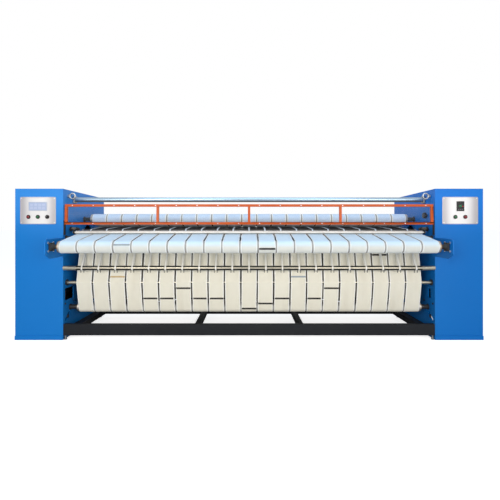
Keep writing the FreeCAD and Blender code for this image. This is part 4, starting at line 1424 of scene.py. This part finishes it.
@dataclass
class Cabinets:
    """Both side cabinets with their doors and frame plates."""

    edge: float = 2.0 * MM
    hinge_edge: float = 0.8 * MM
    near: float = 5.0 * MM
    top_thick: float = 3.2 * MM         # the top sheet with a hair of room under it
    valance_thick: float = 3.0 * MM
    valance_inset: float = 4.0 * MM     # behind the top sheet's lip
    valance_gap: float = 4.0 * MM       # over the door's edge

    def build(self) -> None:
        """Splits each painted node by side, because the right cabinet's blue is painted darker as painted
        shade.
        """
        for node in ("cabinet_fronts", "cabinet_tops", "cabinet_backs", "cabinet_posts", "cabinet_plinths",
                     "feed_brackets"):
            for side, blue in BLUES.items():
                finish = GREY_STEEL if node == "cabinet_posts" else blue
                piece(bevelled(side.half(welded(node)), self.edge), f"{node}_{side.word}", finish,
                      body_of(node), [node])
        for node in ("side_frame", "side_door"):
            for side, finish in BLUES.items():
                softened(f"{node}_{side.word}", finish, self.edge)
        softened("door_hinges", GREY_STEEL, self.hinge_edge)
        for side, finish in BLUES.items():
            self.valance(side, finish)

    def valance(self, side: Side, finish: Finish) -> None:
        """A strip that closes the wedge between a door's top edge and the sloping top sheet.

        Args:
            side: the cabinet.
            finish: its enamel.
        """
        tops = [v.co for v in frame["nodes"]["cabinet_tops"].data.vertices if v.co.x * side.value > 0]
        front, back = min(point.y for point in tops), max(point.y for point in tops)
        edge_front = max(point.z for point in tops if point.y < front + self.near)
        edge_back = max(point.z for point in tops if point.y > back - self.near)
        out = max(abs(point.x) for point in tops) - self.valance_inset
        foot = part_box(f"side_door_{side.word}")[1].z + self.valance_gap
        left, right = sorted((side.value * out, side.value * (out - self.valance_thick)))
        mesh = block(Vector((left, front + self.near, foot)),
                     Vector((right, back - self.near, foot + self.near)))
        for vert in mesh.verts:
            if vert.co.z > foot + self.near / 2:
                share = (vert.co.y - front) / (back - front)
                vert.co.z = edge_front + (edge_back - edge_front) * share - self.top_thick
        piece(mesh, f"cabinet_valance_{side.word}", finish, "frame")


@dataclass
class Base:
    """The black frame on the floor."""

    beam_edge: float = 2.5 * MM
    foot_edge: float = 1.0 * MM

    def build(self) -> None:
        """Softens the beams and finishes the feet."""
        for node in ("base_front_beam", "base_rear_beam", "base_side_rails", "base_cross_rails"):
            softened(node, BEAM_BLACK, self.beam_edge)
        softened("levelling_feet", GREY_STEEL, self.foot_edge)


@dataclass
class Rollers:
    """Every roller and rod with its bearings."""

    steps: int = 64
    peg_steps: int = 12
    shaft_limit: float = 25 * MM        # bars up to this radius are shafts
    shaft_play: float = 0.25 * MM       # keeps a turning shaft's facets off its bearings' facets
    ring_width: float = 6.0 * MM
    ring_proud: float = 1.2 * MM
    ring_sunk: float = 3.0 * MM
    peg_edge: float = 1.0 * MM
    peg_room: float = 2.0 * MM          # points this far under the exit rod belong to its pegs
    peg_apart: float = 1.0 * MM

    def build(self) -> None:
        """Turns the rollers again and softens the bearings."""
        for node in ("turn_roller", "rear_bottom_roller", "rear_top_roller", "tape_idler"):
            self.roller(node, SHADED_ROLLER)
        for node in ("top_roller", "bottom_roller", "feed_front_roller", "feed_rear_roller"):
            self.roller(node, PALE_ROLLER)
        press = [round_bar(box, self.steps, plain_bar) for box in solid_boxes("press_roller")]
        redone("press_roller", gathered(press), PRESS_STEEL)
        self.end_rings()
        self.rod("bend_rod", solid_boxes("bend_rod")[0])
        self.exit_rod()
        softened("press_arms", CAST_IRON, 1.5 * MM)
        softened("roller_bearings", CAST_IRON, 1.5 * MM)
        softened("feed_bearings", CAST_IRON, 3.0 * MM)
        FeedBearings().build()
        PressSprings().build()
        softened("rod_bushes", CAST_IRON, 1.0 * MM)

    def roller(self, node: str, finish: Finish) -> None:
        """A roller's tube with dished ends, and its shafts.

        Args:
            node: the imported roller, whose solids are plain bars.
            finish: the tube's steel.
        """
        tubes, shafts = [], []
        play = Vector((0.0, self.shaft_play, self.shaft_play))
        for low, high in solid_boxes(node):
            if half_height((low, high)) > self.shaft_limit:
                tubes.append(round_bar((low, high), self.steps, dished_tube))
            else:
                shafts.append(round_bar((low + play, high - play), self.steps, plain_bar))
        piece(gathered(tubes), f"{node}_tube", finish, body_of(node), [node])
        if shafts:
            piece(gathered(shafts), f"{node}_shafts", SHAFT_STEEL, body_of(node), [node])

    def end_rings(self) -> None:
        """Bronze rings at the ends of the front feed roller."""
        box = max(solid_boxes("feed_front_roller"), key=half_height)
        radius = half_height(box)
        profile = flat_ring(self.ring_width, radius - self.ring_sunk, radius + self.ring_proud)
        centre = centre_of(box)
        rings = [turned(profile, Vector((x, centre.y, centre.z)), Axis.X, self.steps)
                 for x in (box[0].x, box[1].x - self.ring_width)]
        piece(gathered(rings), "feed_roller_end_rings", BRONZE, body_of("feed_front_roller"))

    def rod(self, node: str, box: Box) -> None:
        """A fixed bar with painted dark lines and a painted highlight."""
        finish = RodSteel(node + "_steel", centre_of(box).z, half_height(box))
        redone(node, round_bar(box, self.steps, plain_bar), finish)

    def exit_rod(self) -> None:
        """The exit rod, and the pegs under it that keep the tapes apart."""
        low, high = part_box("exit_rod")
        radius = (high.y - low.y) / 2
        under = high.z - 2 * radius
        self.rod("exit_rod", (Vector((low.x, low.y, under)), high))
        points = frame["nodes"]["exit_rod"].data.vertices
        rows = sorted(v.co.x for v in points if v.co.z < under - self.peg_room)
        groups = [[rows[0]]]
        for x in rows:
            if x - groups[-1][-1] > self.peg_apart:
                groups.append([])
            groups[-1].append(x)
        reach = (under + radius - low.z) / 2
        pegs = []
        for group in groups:
            profile = rounded(-reach, reach, (group[-1] - group[0]) / 2, self.peg_edge)
            centre = Vector(((group[0] + group[-1]) / 2, (low.y + high.y) / 2, low.z + reach))
            pegs.append(turned(profile, centre, Axis.Z, self.peg_steps))
        piece(gathered(pegs), "exit_rod_pegs", CAST_IRON, "frame", ["exit_rod"])


@dataclass
class FeedBearings:
    """Hub, locking collar and grease nipple of the front feed roller's bearings."""

    play: float = 0.2 * MM
    hub: tuple[Span, ...] = (           # way out from the housing and radius, step by step
        (0.0, 31 * MM), (7 * MM, 29 * MM), (10 * MM, 25 * MM), (17 * MM, 25 * MM), (18 * MM, 22 * MM),
        (27 * MM, 22 * MM), (28 * MM, 21 * MM))
    hub_steps: int = 40
    nipple: tuple[Span, ...] = (        # height and radius, step by step
        (0.0, 0.0), (0.0, 4 * MM), (6 * MM, 4 * MM), (7 * MM, 2.6 * MM), (11 * MM, 3 * MM), (13 * MM, 0.0))
    nipple_out: float = 5 * MM
    nipple_up: float = 29 * MM
    nipple_steps: int = 10

    def build(self) -> None:
        """Puts a hub and a nipple on each bearing."""
        shaft = min(solid_boxes("feed_front_roller"), key=half_height)
        bore = half_height(shaft) + self.play
        parts = []
        for box in solid_boxes("feed_bearings"):
            side = Side.of(box)
            centre = centre_of(box)
            centre.x = box[0].x if side is Side.RIGHT else box[1].x
            way = -side.value
            profile = [(0.0, bore), *((way * out, radius) for out, radius in self.hub),
                       (way * self.hub[-1][0], bore), (0.0, bore)]
            parts.append(turned(profile, centre, Axis.X, self.hub_steps))
            top = centre + Vector((way * self.nipple_out, 0.0, self.nipple_up))
            parts.append(turned(list(self.nipple), top, Axis.Z, self.nipple_steps))
        piece(gathered(parts), "feed_bearing_hubs", CAST_IRON, "frame")


@dataclass
class PressSprings:
    """Coil springs, washers and nuts on the press arms' pins; places are measured from the arm."""

    pin_limit: float = 40 * MM          # solids of the supports that are lower than this are pins
    spring_start: float = 9 * MM
    spring_length: float = 44 * MM
    spring_play: float = 6 * MM         # from the pin's face to the wire's middle
    wire: float = 3.2 * MM
    turns: int = 5
    turn_steps: int = 18
    wire_sides: int = 8
    washers: tuple[Point, ...] = (      # place, reach past the pin and thickness
        (2 * MM, 12 * MM, 4 * MM), (56 * MM, 15 * MM, 6 * MM))
    washer_steps: int = 24
    nut: tuple[Span, ...] = ((0.0, 0.0), (0.0, 13 * MM), (6 * MM, 13 * MM), (8 * MM, 10 * MM), (8 * MM, 0.0))

    def build(self) -> None:
        """Dresses each pin."""
        coils, nuts = [], []
        pins = [box for box in solid_boxes("nip_supports") if 2 * half_height(box) < self.pin_limit]
        for pin, arm in zip(pins, solid_boxes("press_arms")):
            side = Side.of(pin)
            out = side.value
            face, end = (arm[1].x, pin[0].x) if side is Side.RIGHT else (arm[0].x, pin[1].x)
            radius = half_height(pin)
            middle = centre_of(pin)
            coils.append(self.coil(Vector((face + out * self.spring_start, middle.y, middle.z)),
                                   out * self.spring_length, radius + self.spring_play))
            for place, reach, thick in self.washers:
                nuts.append(turned(flat_ring(out * thick, radius, radius + reach),
                                   Vector((face + out * place, middle.y, middle.z)), Axis.X,
                                   self.washer_steps))
            profile = [(-out * along, wide) for along, wide in self.nut]
            nuts.append(turned(profile, Vector((end, middle.y, middle.z)), Axis.X, 6))
        piece(gathered(coils), "press_springs", CHAIN_STEEL, "frame")
        piece(gathered(nuts), "press_pin_nuts", SHAFT_STEEL, "frame")

    def coil(self, start: Vector, length: float, radius: float) -> Mesh:
        """A coil spring along X.

        Args:
            start: the point of its axis where it starts.
            length: along X, under zero to the left.
            radius: from its axis to the wire's middle.

        Returns:
            A tube with closed ends.
        """
        steps = self.turn_steps * self.turns
        mesh = bmesh.new()
        matrix = (Matrix.Translation(start + Vector((0.0, 0.0, radius)))
                  @ Matrix.Rotation(math.pi / 2, 4, "X"))
        bmesh.ops.create_circle(mesh, cap_ends=False, segments=self.wire_sides, radius=self.wire,
                                matrix=matrix)
        bmesh.ops.spin(mesh, geom=mesh.verts[:] + mesh.edges[:], cent=start, axis=(1, 0, 0),
                       dvec=(length / steps, 0.0, 0.0), angle=FULL_TURN * self.turns, steps=steps)
        rims = [e for e in mesh.edges if len(e.link_faces) == 1]
        bmesh.ops.holes_fill(mesh, edges=rims, sides=self.wire_sides)
        bmesh.ops.recalc_face_normals(mesh, faces=mesh.faces)
        return mesh


@dataclass
class Drum:
    """The heated drum with its ends and bearings."""

    journal: float = 60 * MM
    journal_near: float = 1 * MM        # points this close to the journal's radius lie on it
    journal_play: float = 0.5 * MM      # keeps the turning journals' facets off the bearings' facets

    def build(self) -> None:
        """Finishes the shell, the ends and the bearings."""
        softened("drum_shell", SHELL_STEEL, 1.0 * MM)
        self.ends()
        softened("drum_bearings", CAST_IRON, 3.0 * MM)

    def ends(self) -> None:
        """The end plates with their journals, the journals a hair thinner."""
        mesh = welded("drum_ends")
        axis = joint_place("drum_spin")
        for vert in mesh.verts:
            off = Vector((0.0, vert.co.y - axis.y, vert.co.z - axis.z))
            if abs(off.length - self.journal) < self.journal_near:
                vert.co -= off.normalized() * self.journal_play
        redone("drum_ends", bevelled(mesh, 1.5 * MM), GREY_STEEL)


@dataclass
class Guard:
    """The orange finger guard with its panes, posts and screws."""

    bar: float = 24 * MM
    screw_radius: float = 5.0 * MM
    screw_proud: float = 2.5 * MM
    screw_sunk: float = 0.8 * MM
    screw_pitch: float = 0.205
    screw_steps: int = 14

    def build(self) -> None:
        """Softens the bars and adds the pane screws."""
        softened("guard_frame", GUARD_ORANGE, 2.0 * MM)
        painted("guard_panes", CLEAR)
        softened("nip_supports", BLACK_PLASTIC, 1.5 * MM)
        self.screws()

    def screws(self) -> None:
        """Round-headed screws along the top and bottom bars."""
        points = [vert.co for vert in frame["nodes"]["guard_frame"].data.vertices]
        low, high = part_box("guard_frame")
        profile = [(1 * MM, 0.0), (1 * MM, self.screw_radius), (0.0, self.screw_radius),
                   (-self.screw_proud * 0.7, self.screw_radius * 0.75), (-self.screw_proud, 0.0)]
        count = int((high.x - low.x - 2 * self.bar) / self.screw_pitch)
        heads = []
        for bottom, top in ((low.z, low.z + self.bar), (high.z - self.bar, high.z)):
            face = min(point.y for point in points if bottom <= point.z <= top)
            for number in range(count + 1):
                centre = Vector(((number - count / 2) * self.screw_pitch, face + self.screw_sunk,
                                 (bottom + top) / 2))
                heads.append(turned(profile, centre, Axis.Y, self.screw_steps))
        piece(gathered(heads), "guard_screws", ZINC, "guard")


@dataclass
class TopTube:
    """The tube over the guard with its clamps and the lifting eyes."""

    steps: int = 64
    clamp_edge: float = 4 * MM
    # painted reflection: a bluish colour for the sky and a dark line
    bright: Colour = tint(156, 178, 196)
    dark: Colour = tint(100, 94, 88)
    lined_half: float = 1.81

    def build(self) -> None:
        """Finishes the tube and the eyes."""
        boxes = solid_boxes("top_tube")
        tube = max(boxes, key=lambda box: box[1].x - box[0].x)
        finish = RodSteel("top_tube_steel", centre_of(tube).z, half_height(tube), self.bright, self.dark,
                          self.lined_half, line_low=0.50)
        piece(round_bar(tube, self.steps, plain_bar), "top_tube_bar", finish, "frame",
              ["top_tube"])
        clamps = [block(*box, self.clamp_edge, 3) for box in boxes if box is not tube]
        piece(gathered(clamps), "top_tube_clamps", GREY_STEEL, "frame", ["top_tube"])
        softened("lifting_eyes", PIPE_STEEL, 0.5 * MM)


@dataclass
class Drive:
    """Chain drive in the left cabinet."""

    def build(self) -> None:
        """Finishes the sprockets, the chain and the gear motor."""
        softened("drum_sprocket", CHAIN_STEEL, 0.5 * MM, 1)
        softened("motor_sprocket", CHAIN_STEEL, 0.5 * MM, 1)
        softened("drive_chain", CHAIN_STEEL, 0.5 * MM, 1)
        softened("gear_motor", CAST_IRON, 4.0 * MM)


@dataclass
class Steam:
    """Rotary joint and pipes in the right cabinet."""

    def build(self) -> None:
        """Finishes the joint and the pipes."""
        softened("steam_joint", BRASS, 2.0 * MM)
        softened("steam_pipes", PIPE_STEEL, 0.6 * MM)


@dataclass
class Controls:
    """Both control plates with what is on them."""

    buttons: dict[str, Finish] = field(default_factory=lambda: {
        "left_red_button": RED_PLASTIC, "left_green_button": GREEN_PLASTIC,
        "right_green_button": GREEN_PLASTIC, "right_red_button": RED_PLASTIC})
    button_edge: float = 2.0 * MM
    bright_screws_from: float = 0.85    # height from which the screws are bright
    border_inset: float = 5 * MM
    border_wide: float = 2.2 * MM
    border_proud: float = 0.7 * MM
    border_sunk: float = 0.5 * MM
    dome_share: float = 0.42            # a dome's radius, as a share of its button's width
    dome: tuple[Span, ...] = (          # height, and reach as a share of the radius
        (0.0, 0.0), (0.0, 1.0), (1.0 * MM, 0.94), (2.2 * MM, 0.72), (3.0 * MM, 0.40), (3.3 * MM, 0.0))
    dome_sunk: float = 0.2 * MM
    dome_steps: int = 28
    mark_half: float = 1.2 * MM         # half the width of the selector's pointer

    def build(self) -> None:
        """Finishes the plates, instruments and buttons."""
        for side in Side:
            mesh = side.half(welded("control_plates"))
            low, high = box_of(mesh.verts)
            finish = PanelSteel(f"panel_steel_{side.word}", (low.x + high.x) / 2, (high.x - low.x) / 2)
            piece(bevelled(mesh, 0.8 * MM), f"control_plate_{side.word}", finish, "frame",
                  ["control_plates"])
        softened("display", BEZEL, 1.5 * MM)
        softened("temperature_controller", BLACK_PLASTIC, 1.5 * MM)
        Screen().build()
        Thermostat().build()
        self.borders()
        self.domes()
        self.pointer()
        softened("switch_bodies", COLLAR, 1.0 * MM)
        for node, finish in self.buttons.items():
            softened(node, finish, self.button_edge, 3)
        softened("left_selector", BLACK_PLASTIC, self.button_edge, 3)
        softened("electric_box", GREY_STEEL, 2.0 * MM)
        softened("hand_knob", BLACK_PLASTIC, 3.0 * MM)
        self.fasteners()

    def fasteners(self) -> None:
        """Bright plate and bracket screws, darker bolts low on the frames."""
        node = "bolts_and_screws"
        bright, dark = [], []
        for mesh in parted(welded(node)):
            low, _ = box_of(mesh.verts)
            (bright if low.z > self.bright_screws_from else dark).append(bevelled(mesh, 1.0 * MM))
        piece(gathered(bright), "plate_screws", ZINC, "frame", [node])
        piece(gathered(dark), "frame_bolts", DARK_BOLT, "frame", [node])

    def borders(self) -> None:
        """A narrow raised frame inside each plate's edge."""
        for side in Side:
            plates = [box for box in solid_boxes("control_plates") if box[0].x * side.value > 0]
            left, front, foot = (min(low[i] for low, _ in plates) for i in range(3))
            right, _, head = (max(high[i] for _, high in plates) for i in range(3))
            left, right = left + self.border_inset, right - self.border_inset
            foot, head = foot + self.border_inset, head - self.border_inset
            wide = self.border_wide
            bars = [block(Vector((x0, front - self.border_proud, z0)),
                          Vector((x1, front + self.border_sunk, z1)))
                    for x0, z0, x1, z1 in ((left, foot, right, foot + wide), (left, head - wide, right, head),
                                           (left, foot, left + wide, head),
                                           (right - wide, foot, right, head))]
            piece(gathered(bars), f"plate_border_{side.word}", BORDER, "frame")

    def domes(self) -> None:
        """A glossy dome on each push button."""
        for node, finish in self.buttons.items():
            low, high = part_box(node)
            radius = (high.x - low.x) * self.dome_share
            profile = [(-height, radius * share) for height, share in self.dome]
            centre = Vector(((low.x + high.x) / 2, low.y + self.dome_sunk, (low.z + high.z) / 2))
            piece(turned(profile, centre, Axis.Y, self.dome_steps), f"{node}_dome", finish, body_of(node))

    def pointer(self) -> None:
        """The white pointer on the selector."""
        node = "left_selector"
        low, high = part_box(node)
        middle = centre_of((low, high))
        mark = block(Vector((middle.x - self.mark_half, low.y - 0.4 * MM, middle.z + 1 * MM)),
                     Vector((middle.x + self.mark_half, low.y + 0.5 * MM, high.z - 2 * MM)))
        piece(mark, "left_selector_mark", WHITE_MARK, body_of(node))


@dataclass
class Screen:
    """The display's glass and two rows of plain pale tiles; places are shares of the glass."""

    inset: float = 7 * MM
    glass_proud: float = 0.8 * MM
    glass_sunk: float = 1 * MM
    tile_proud: float = 1.1 * MM
    columns: int = 4
    rows: int = 2
    first: Span = (0.06, 0.12)
    step: Span = (0.235, 0.42)
    tile: Span = (0.18, 0.32)

    def build(self) -> None:
        """Makes the glass and the tiles."""
        low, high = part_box("display")
        rim = Vector((self.inset, 0.0, self.inset))
        face = (low + rim, high - rim)
        glass = on_front(face, (0.0, 0.0, 1.0, 1.0), self.glass_proud, self.glass_sunk)
        piece(glass, "display_glass", SCREEN, "frame")
        tiles = []
        for column in range(self.columns):
            for row in range(self.rows):
                left = self.first[0] + column * self.step[0]
                foot = self.first[1] + row * self.step[1]
                area = (left, foot, left + self.tile[0], foot + self.tile[1])
                tiles.append(on_front(face, area, self.tile_proud))
        piece(gathered(tiles), "display_tiles", TILE, "frame")


@dataclass
class Thermostat:
    """The temperature controller's window, number, lamp and keys; places are shares of its face."""

    number: str = "180"
    window: tuple[float, float, float, float] = (0.10, 0.34, 0.90, 0.90)
    window_proud: float = 0.8 * MM
    window_sunk: float = 1 * MM
    digit: Span = (0.11, 0.20)              # its width and height
    digit_first: Span = (0.18, 0.42)
    digit_step: float = 0.17
    digit_proud: float = 1.1 * MM
    digit_thick: float = 0.6 * MM
    bar_share: float = 0.16                 # a bar's width, as a share of the digit's
    lamp_place: Span = (0.80, 0.48)
    lamp_sunk: float = 0.6 * MM
    lamp: tuple[Span, ...] = ((0.0, 0.0), (0.0, 4 * MM), (-1 * MM, 3 * MM), (-1.6 * MM, 0.0))
    lamp_steps: int = 16
    key: tuple[float, float, float, float] = (0.14, 0.10, 0.32, 0.22)
    key_step: float = 0.26
    key_proud: float = 1.4 * MM
    keys: int = 3

    def build(self) -> None:
        """Makes what is on the controller's face."""
        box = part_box("temperature_controller")
        low, high = box
        wide, tall = high.x - low.x, high.z - low.z
        self.add(on_front(box, self.window, self.window_proud, self.window_sunk), "controller_window", INK)
        digits = [self.lit(figure,
                           Vector((low.x + wide * (self.digit_first[0] + place * self.digit_step),
                                   low.y - self.digit_proud, low.z + tall * self.digit_first[1])),
                           wide * self.digit[0], tall * self.digit[1])
                  for place, figure in enumerate(self.number)]
        self.add(gathered(digits), "controller_digits", GREEN_LIGHT)
        centre = Vector((low.x + wide * self.lamp_place[0], low.y - self.lamp_sunk,
                         low.z + tall * self.lamp_place[1]))
        self.add(turned(list(self.lamp), centre, Axis.Y, self.lamp_steps), "controller_lamp", RED_LIGHT)
        left, foot, right, head = self.key
        keys = [on_front(box, (left + shift, foot, right + shift, head), self.key_proud)
                for shift in (place * self.key_step for place in range(self.keys))]
        self.add(gathered(keys), "controller_keys", KEY_GREY)

    @staticmethod
    def add(mesh: Mesh, name: str, finish: Finish) -> None:
        """Adds a piece on the controller."""
        piece(mesh, name, finish, "frame")

    def lit(self, figure: str, corner: Vector, wide: float, tall: float) -> Mesh:
        """The lit ones of a digit's seven bars.

        Args:
            figure: the digit to show.
            corner: its lower left corner, on the front of the window.
            wide: along X.
            tall: along Z.

        Returns:
            The bars as small blocks.
        """
        names = {"0": "abcdef", "1": "bc", "8": "abcdefg"}[figure]
        thick = wide * self.bar_share
        half = tall / 2
        bars = {"a": (0.0, tall - thick, wide, tall), "g": (0.0, half - thick / 2, wide, half + thick / 2),
                "d": (0.0, 0.0, wide, thick), "f": (0.0, half, thick, tall), "e": (0.0, 0.0, thick, half),
                "b": (wide - thick, half, wide, tall), "c": (wide - thick, 0.0, wide, half)}
        return gathered([block(corner + Vector((left, 0.0, foot)),
                               corner + Vector((right, self.digit_thick, head)))
                         for left, foot, right, head in (bars[name] for name in names)])


@dataclass(frozen=True)
class Lamp:
    """A soft square lamp aimed at a point."""

    name: str
    place: Point
    aim: Point
    size: float
    power: float
    colour: Point

    def build(self) -> None:
        """Hangs the lamp."""
        data = bpy.data.lights.new(self.name, "AREA")
        data.size = self.size
        data.energy = self.power
        data.color = self.colour
        made = bpy.data.objects.new(self.name, data)
        made.location = self.place
        made.rotation_euler = (Vector(self.aim) - Vector(self.place)).to_track_quat("-Z", "Y").to_euler()
        bpy.context.scene.collection.objects.link(made)


@dataclass
class Studio:
    """Camera, floor, world and lamps."""

    eye: Point = (0.0, -4.250, 1.148)
    lens: float = 28.4
    sensor: float = 36.0
    shift: tuple[float, float] = (0.0018, -0.054)
    far: float = 200.0
    floor_half: float = 60.0
    floor_drop: float = 0.5 * MM
    floor_grey: Colour = (0.80, 0.80, 0.80, 1.0)
    floor_glow: float = 0.82
    sky: Colour = (0.80, 0.90, 1.0, 1.0)
    sky_strength: float = 0.24
    white: Colour = (1.0, 1.0, 1.0, 1.0)
    lamps: tuple[Lamp, ...] = (
        Lamp("key_lamp", (-2.0, -5.8, 1.9), (0.0, 0.0, 0.8), 2.6, 150.0, (1.0, 0.96, 0.90)),
        Lamp("fill_lamp", (2.4, -5.6, 1.7), (0.2, 0.0, 0.7), 2.6, 112.0, (1.0, 0.965, 0.92)),
        Lamp("top_lamp", (0.0, -0.9, 4.8), (0.0, -0.2, 0.8), 4.2, 106.0, (0.60, 0.80, 1.0)))

    def build(self) -> None:
        """Makes everything round the object."""
        self.camera()
        self.world()
        self.floor()
        for lamp in self.lamps:
            lamp.build()

    def camera(self) -> None:
        """The camera where the photograph was taken."""
        data = bpy.data.cameras.new("camera")
        data.lens = self.lens
        data.sensor_width = self.sensor
        data.shift_x, data.shift_y = self.shift
        data.clip_end = self.far
        made = bpy.data.objects.new("camera", data)
        made.location = self.eye
        made.rotation_euler = (math.pi / 2, 0.0, 0.0)
        bpy.context.scene.collection.objects.link(made)
        bpy.context.scene.camera = made
        bpy.context.scene.view_settings.view_transform = "Standard"

    @staticmethod
    def seen(graph: Graph, also: Sequence[str] = ("Is Glossy Ray",)) -> Sock:
        """Picks out what the camera sees.

        Args:
            graph: the nodes of a material or of the world.
            also: the rays to count besides those straight to the camera or through a pane.

        Returns:
            1 for such a ray, or else 0.
        """
        whole: Value = 0.0
        for name in ("Is Camera Ray", "Is Transmission Ray", *also):
            whole = whole + graph.node("ShaderNodeLightPath", out=name)
        return graph.node("ShaderNodeClamp", None, {"Value": whole})

    def world(self) -> None:
        """White where it is seen, and a softer light on the object."""
        world = bpy.data.worlds.new("studio")
        bpy.context.scene.world = world
        world.use_nodes = True
        graph = Graph(world.node_tree)
        soft = graph.node("ShaderNodeBackground", None, {"Color": self.sky, "Strength": self.sky_strength})
        white = graph.node("ShaderNodeBackground", None, {"Color": self.white, "Strength": 1.0})
        mixed = graph.node("ShaderNodeMixShader", None, {0: self.seen(graph), 1: soft, 2: white})
        graph.node("ShaderNodeOutputWorld", None, {"Surface": mixed})

    def floor(self) -> None:
        """A pale floor that keeps the object's shadow."""
        mesh = bmesh.new()
        bmesh.ops.create_grid(mesh, x_segments=1, y_segments=1, size=self.floor_half,
                              matrix=Matrix.Translation((0, 0, -self.floor_drop)))
        data = bpy.data.meshes.new("floor")
        mesh.to_mesh(data)
        mesh.free()
        made = bpy.data.objects.new("floor", data)
        bpy.context.scene.collection.objects.link(made)
        paint = bpy.data.materials.new("floor")
        paint.use_nodes = True
        graph = Graph(paint.node_tree)
        soft = graph.node("ShaderNodeBsdfDiffuse", None, {"Color": self.floor_grey})
        glow = graph.node("ShaderNodeEmission", None, {"Strength": self.seen(graph, ()) * self.floor_glow})
        both = graph.node("ShaderNodeAddShader", None, {0: soft, 1: glow})
        graph.node("ShaderNodeOutputMaterial", None, {"Surface": both})
        data.materials.append(paint)


def main() -> None:
    """Builds the studio and every sub-assembly."""
    logging.basicConfig(level=logging.INFO, format="%(name)s %(message)s")
    Studio().build()
    for assembly in (Cabinets(), Base(), Rollers(), Drum(), Belts(), Guard(), TopTube(), Drive(), Steam(),
                     Controls()):
        LOG.info("building %s", type(assembly).__name__)
        assembly.build()


if __name__ == "__main__":
    main()
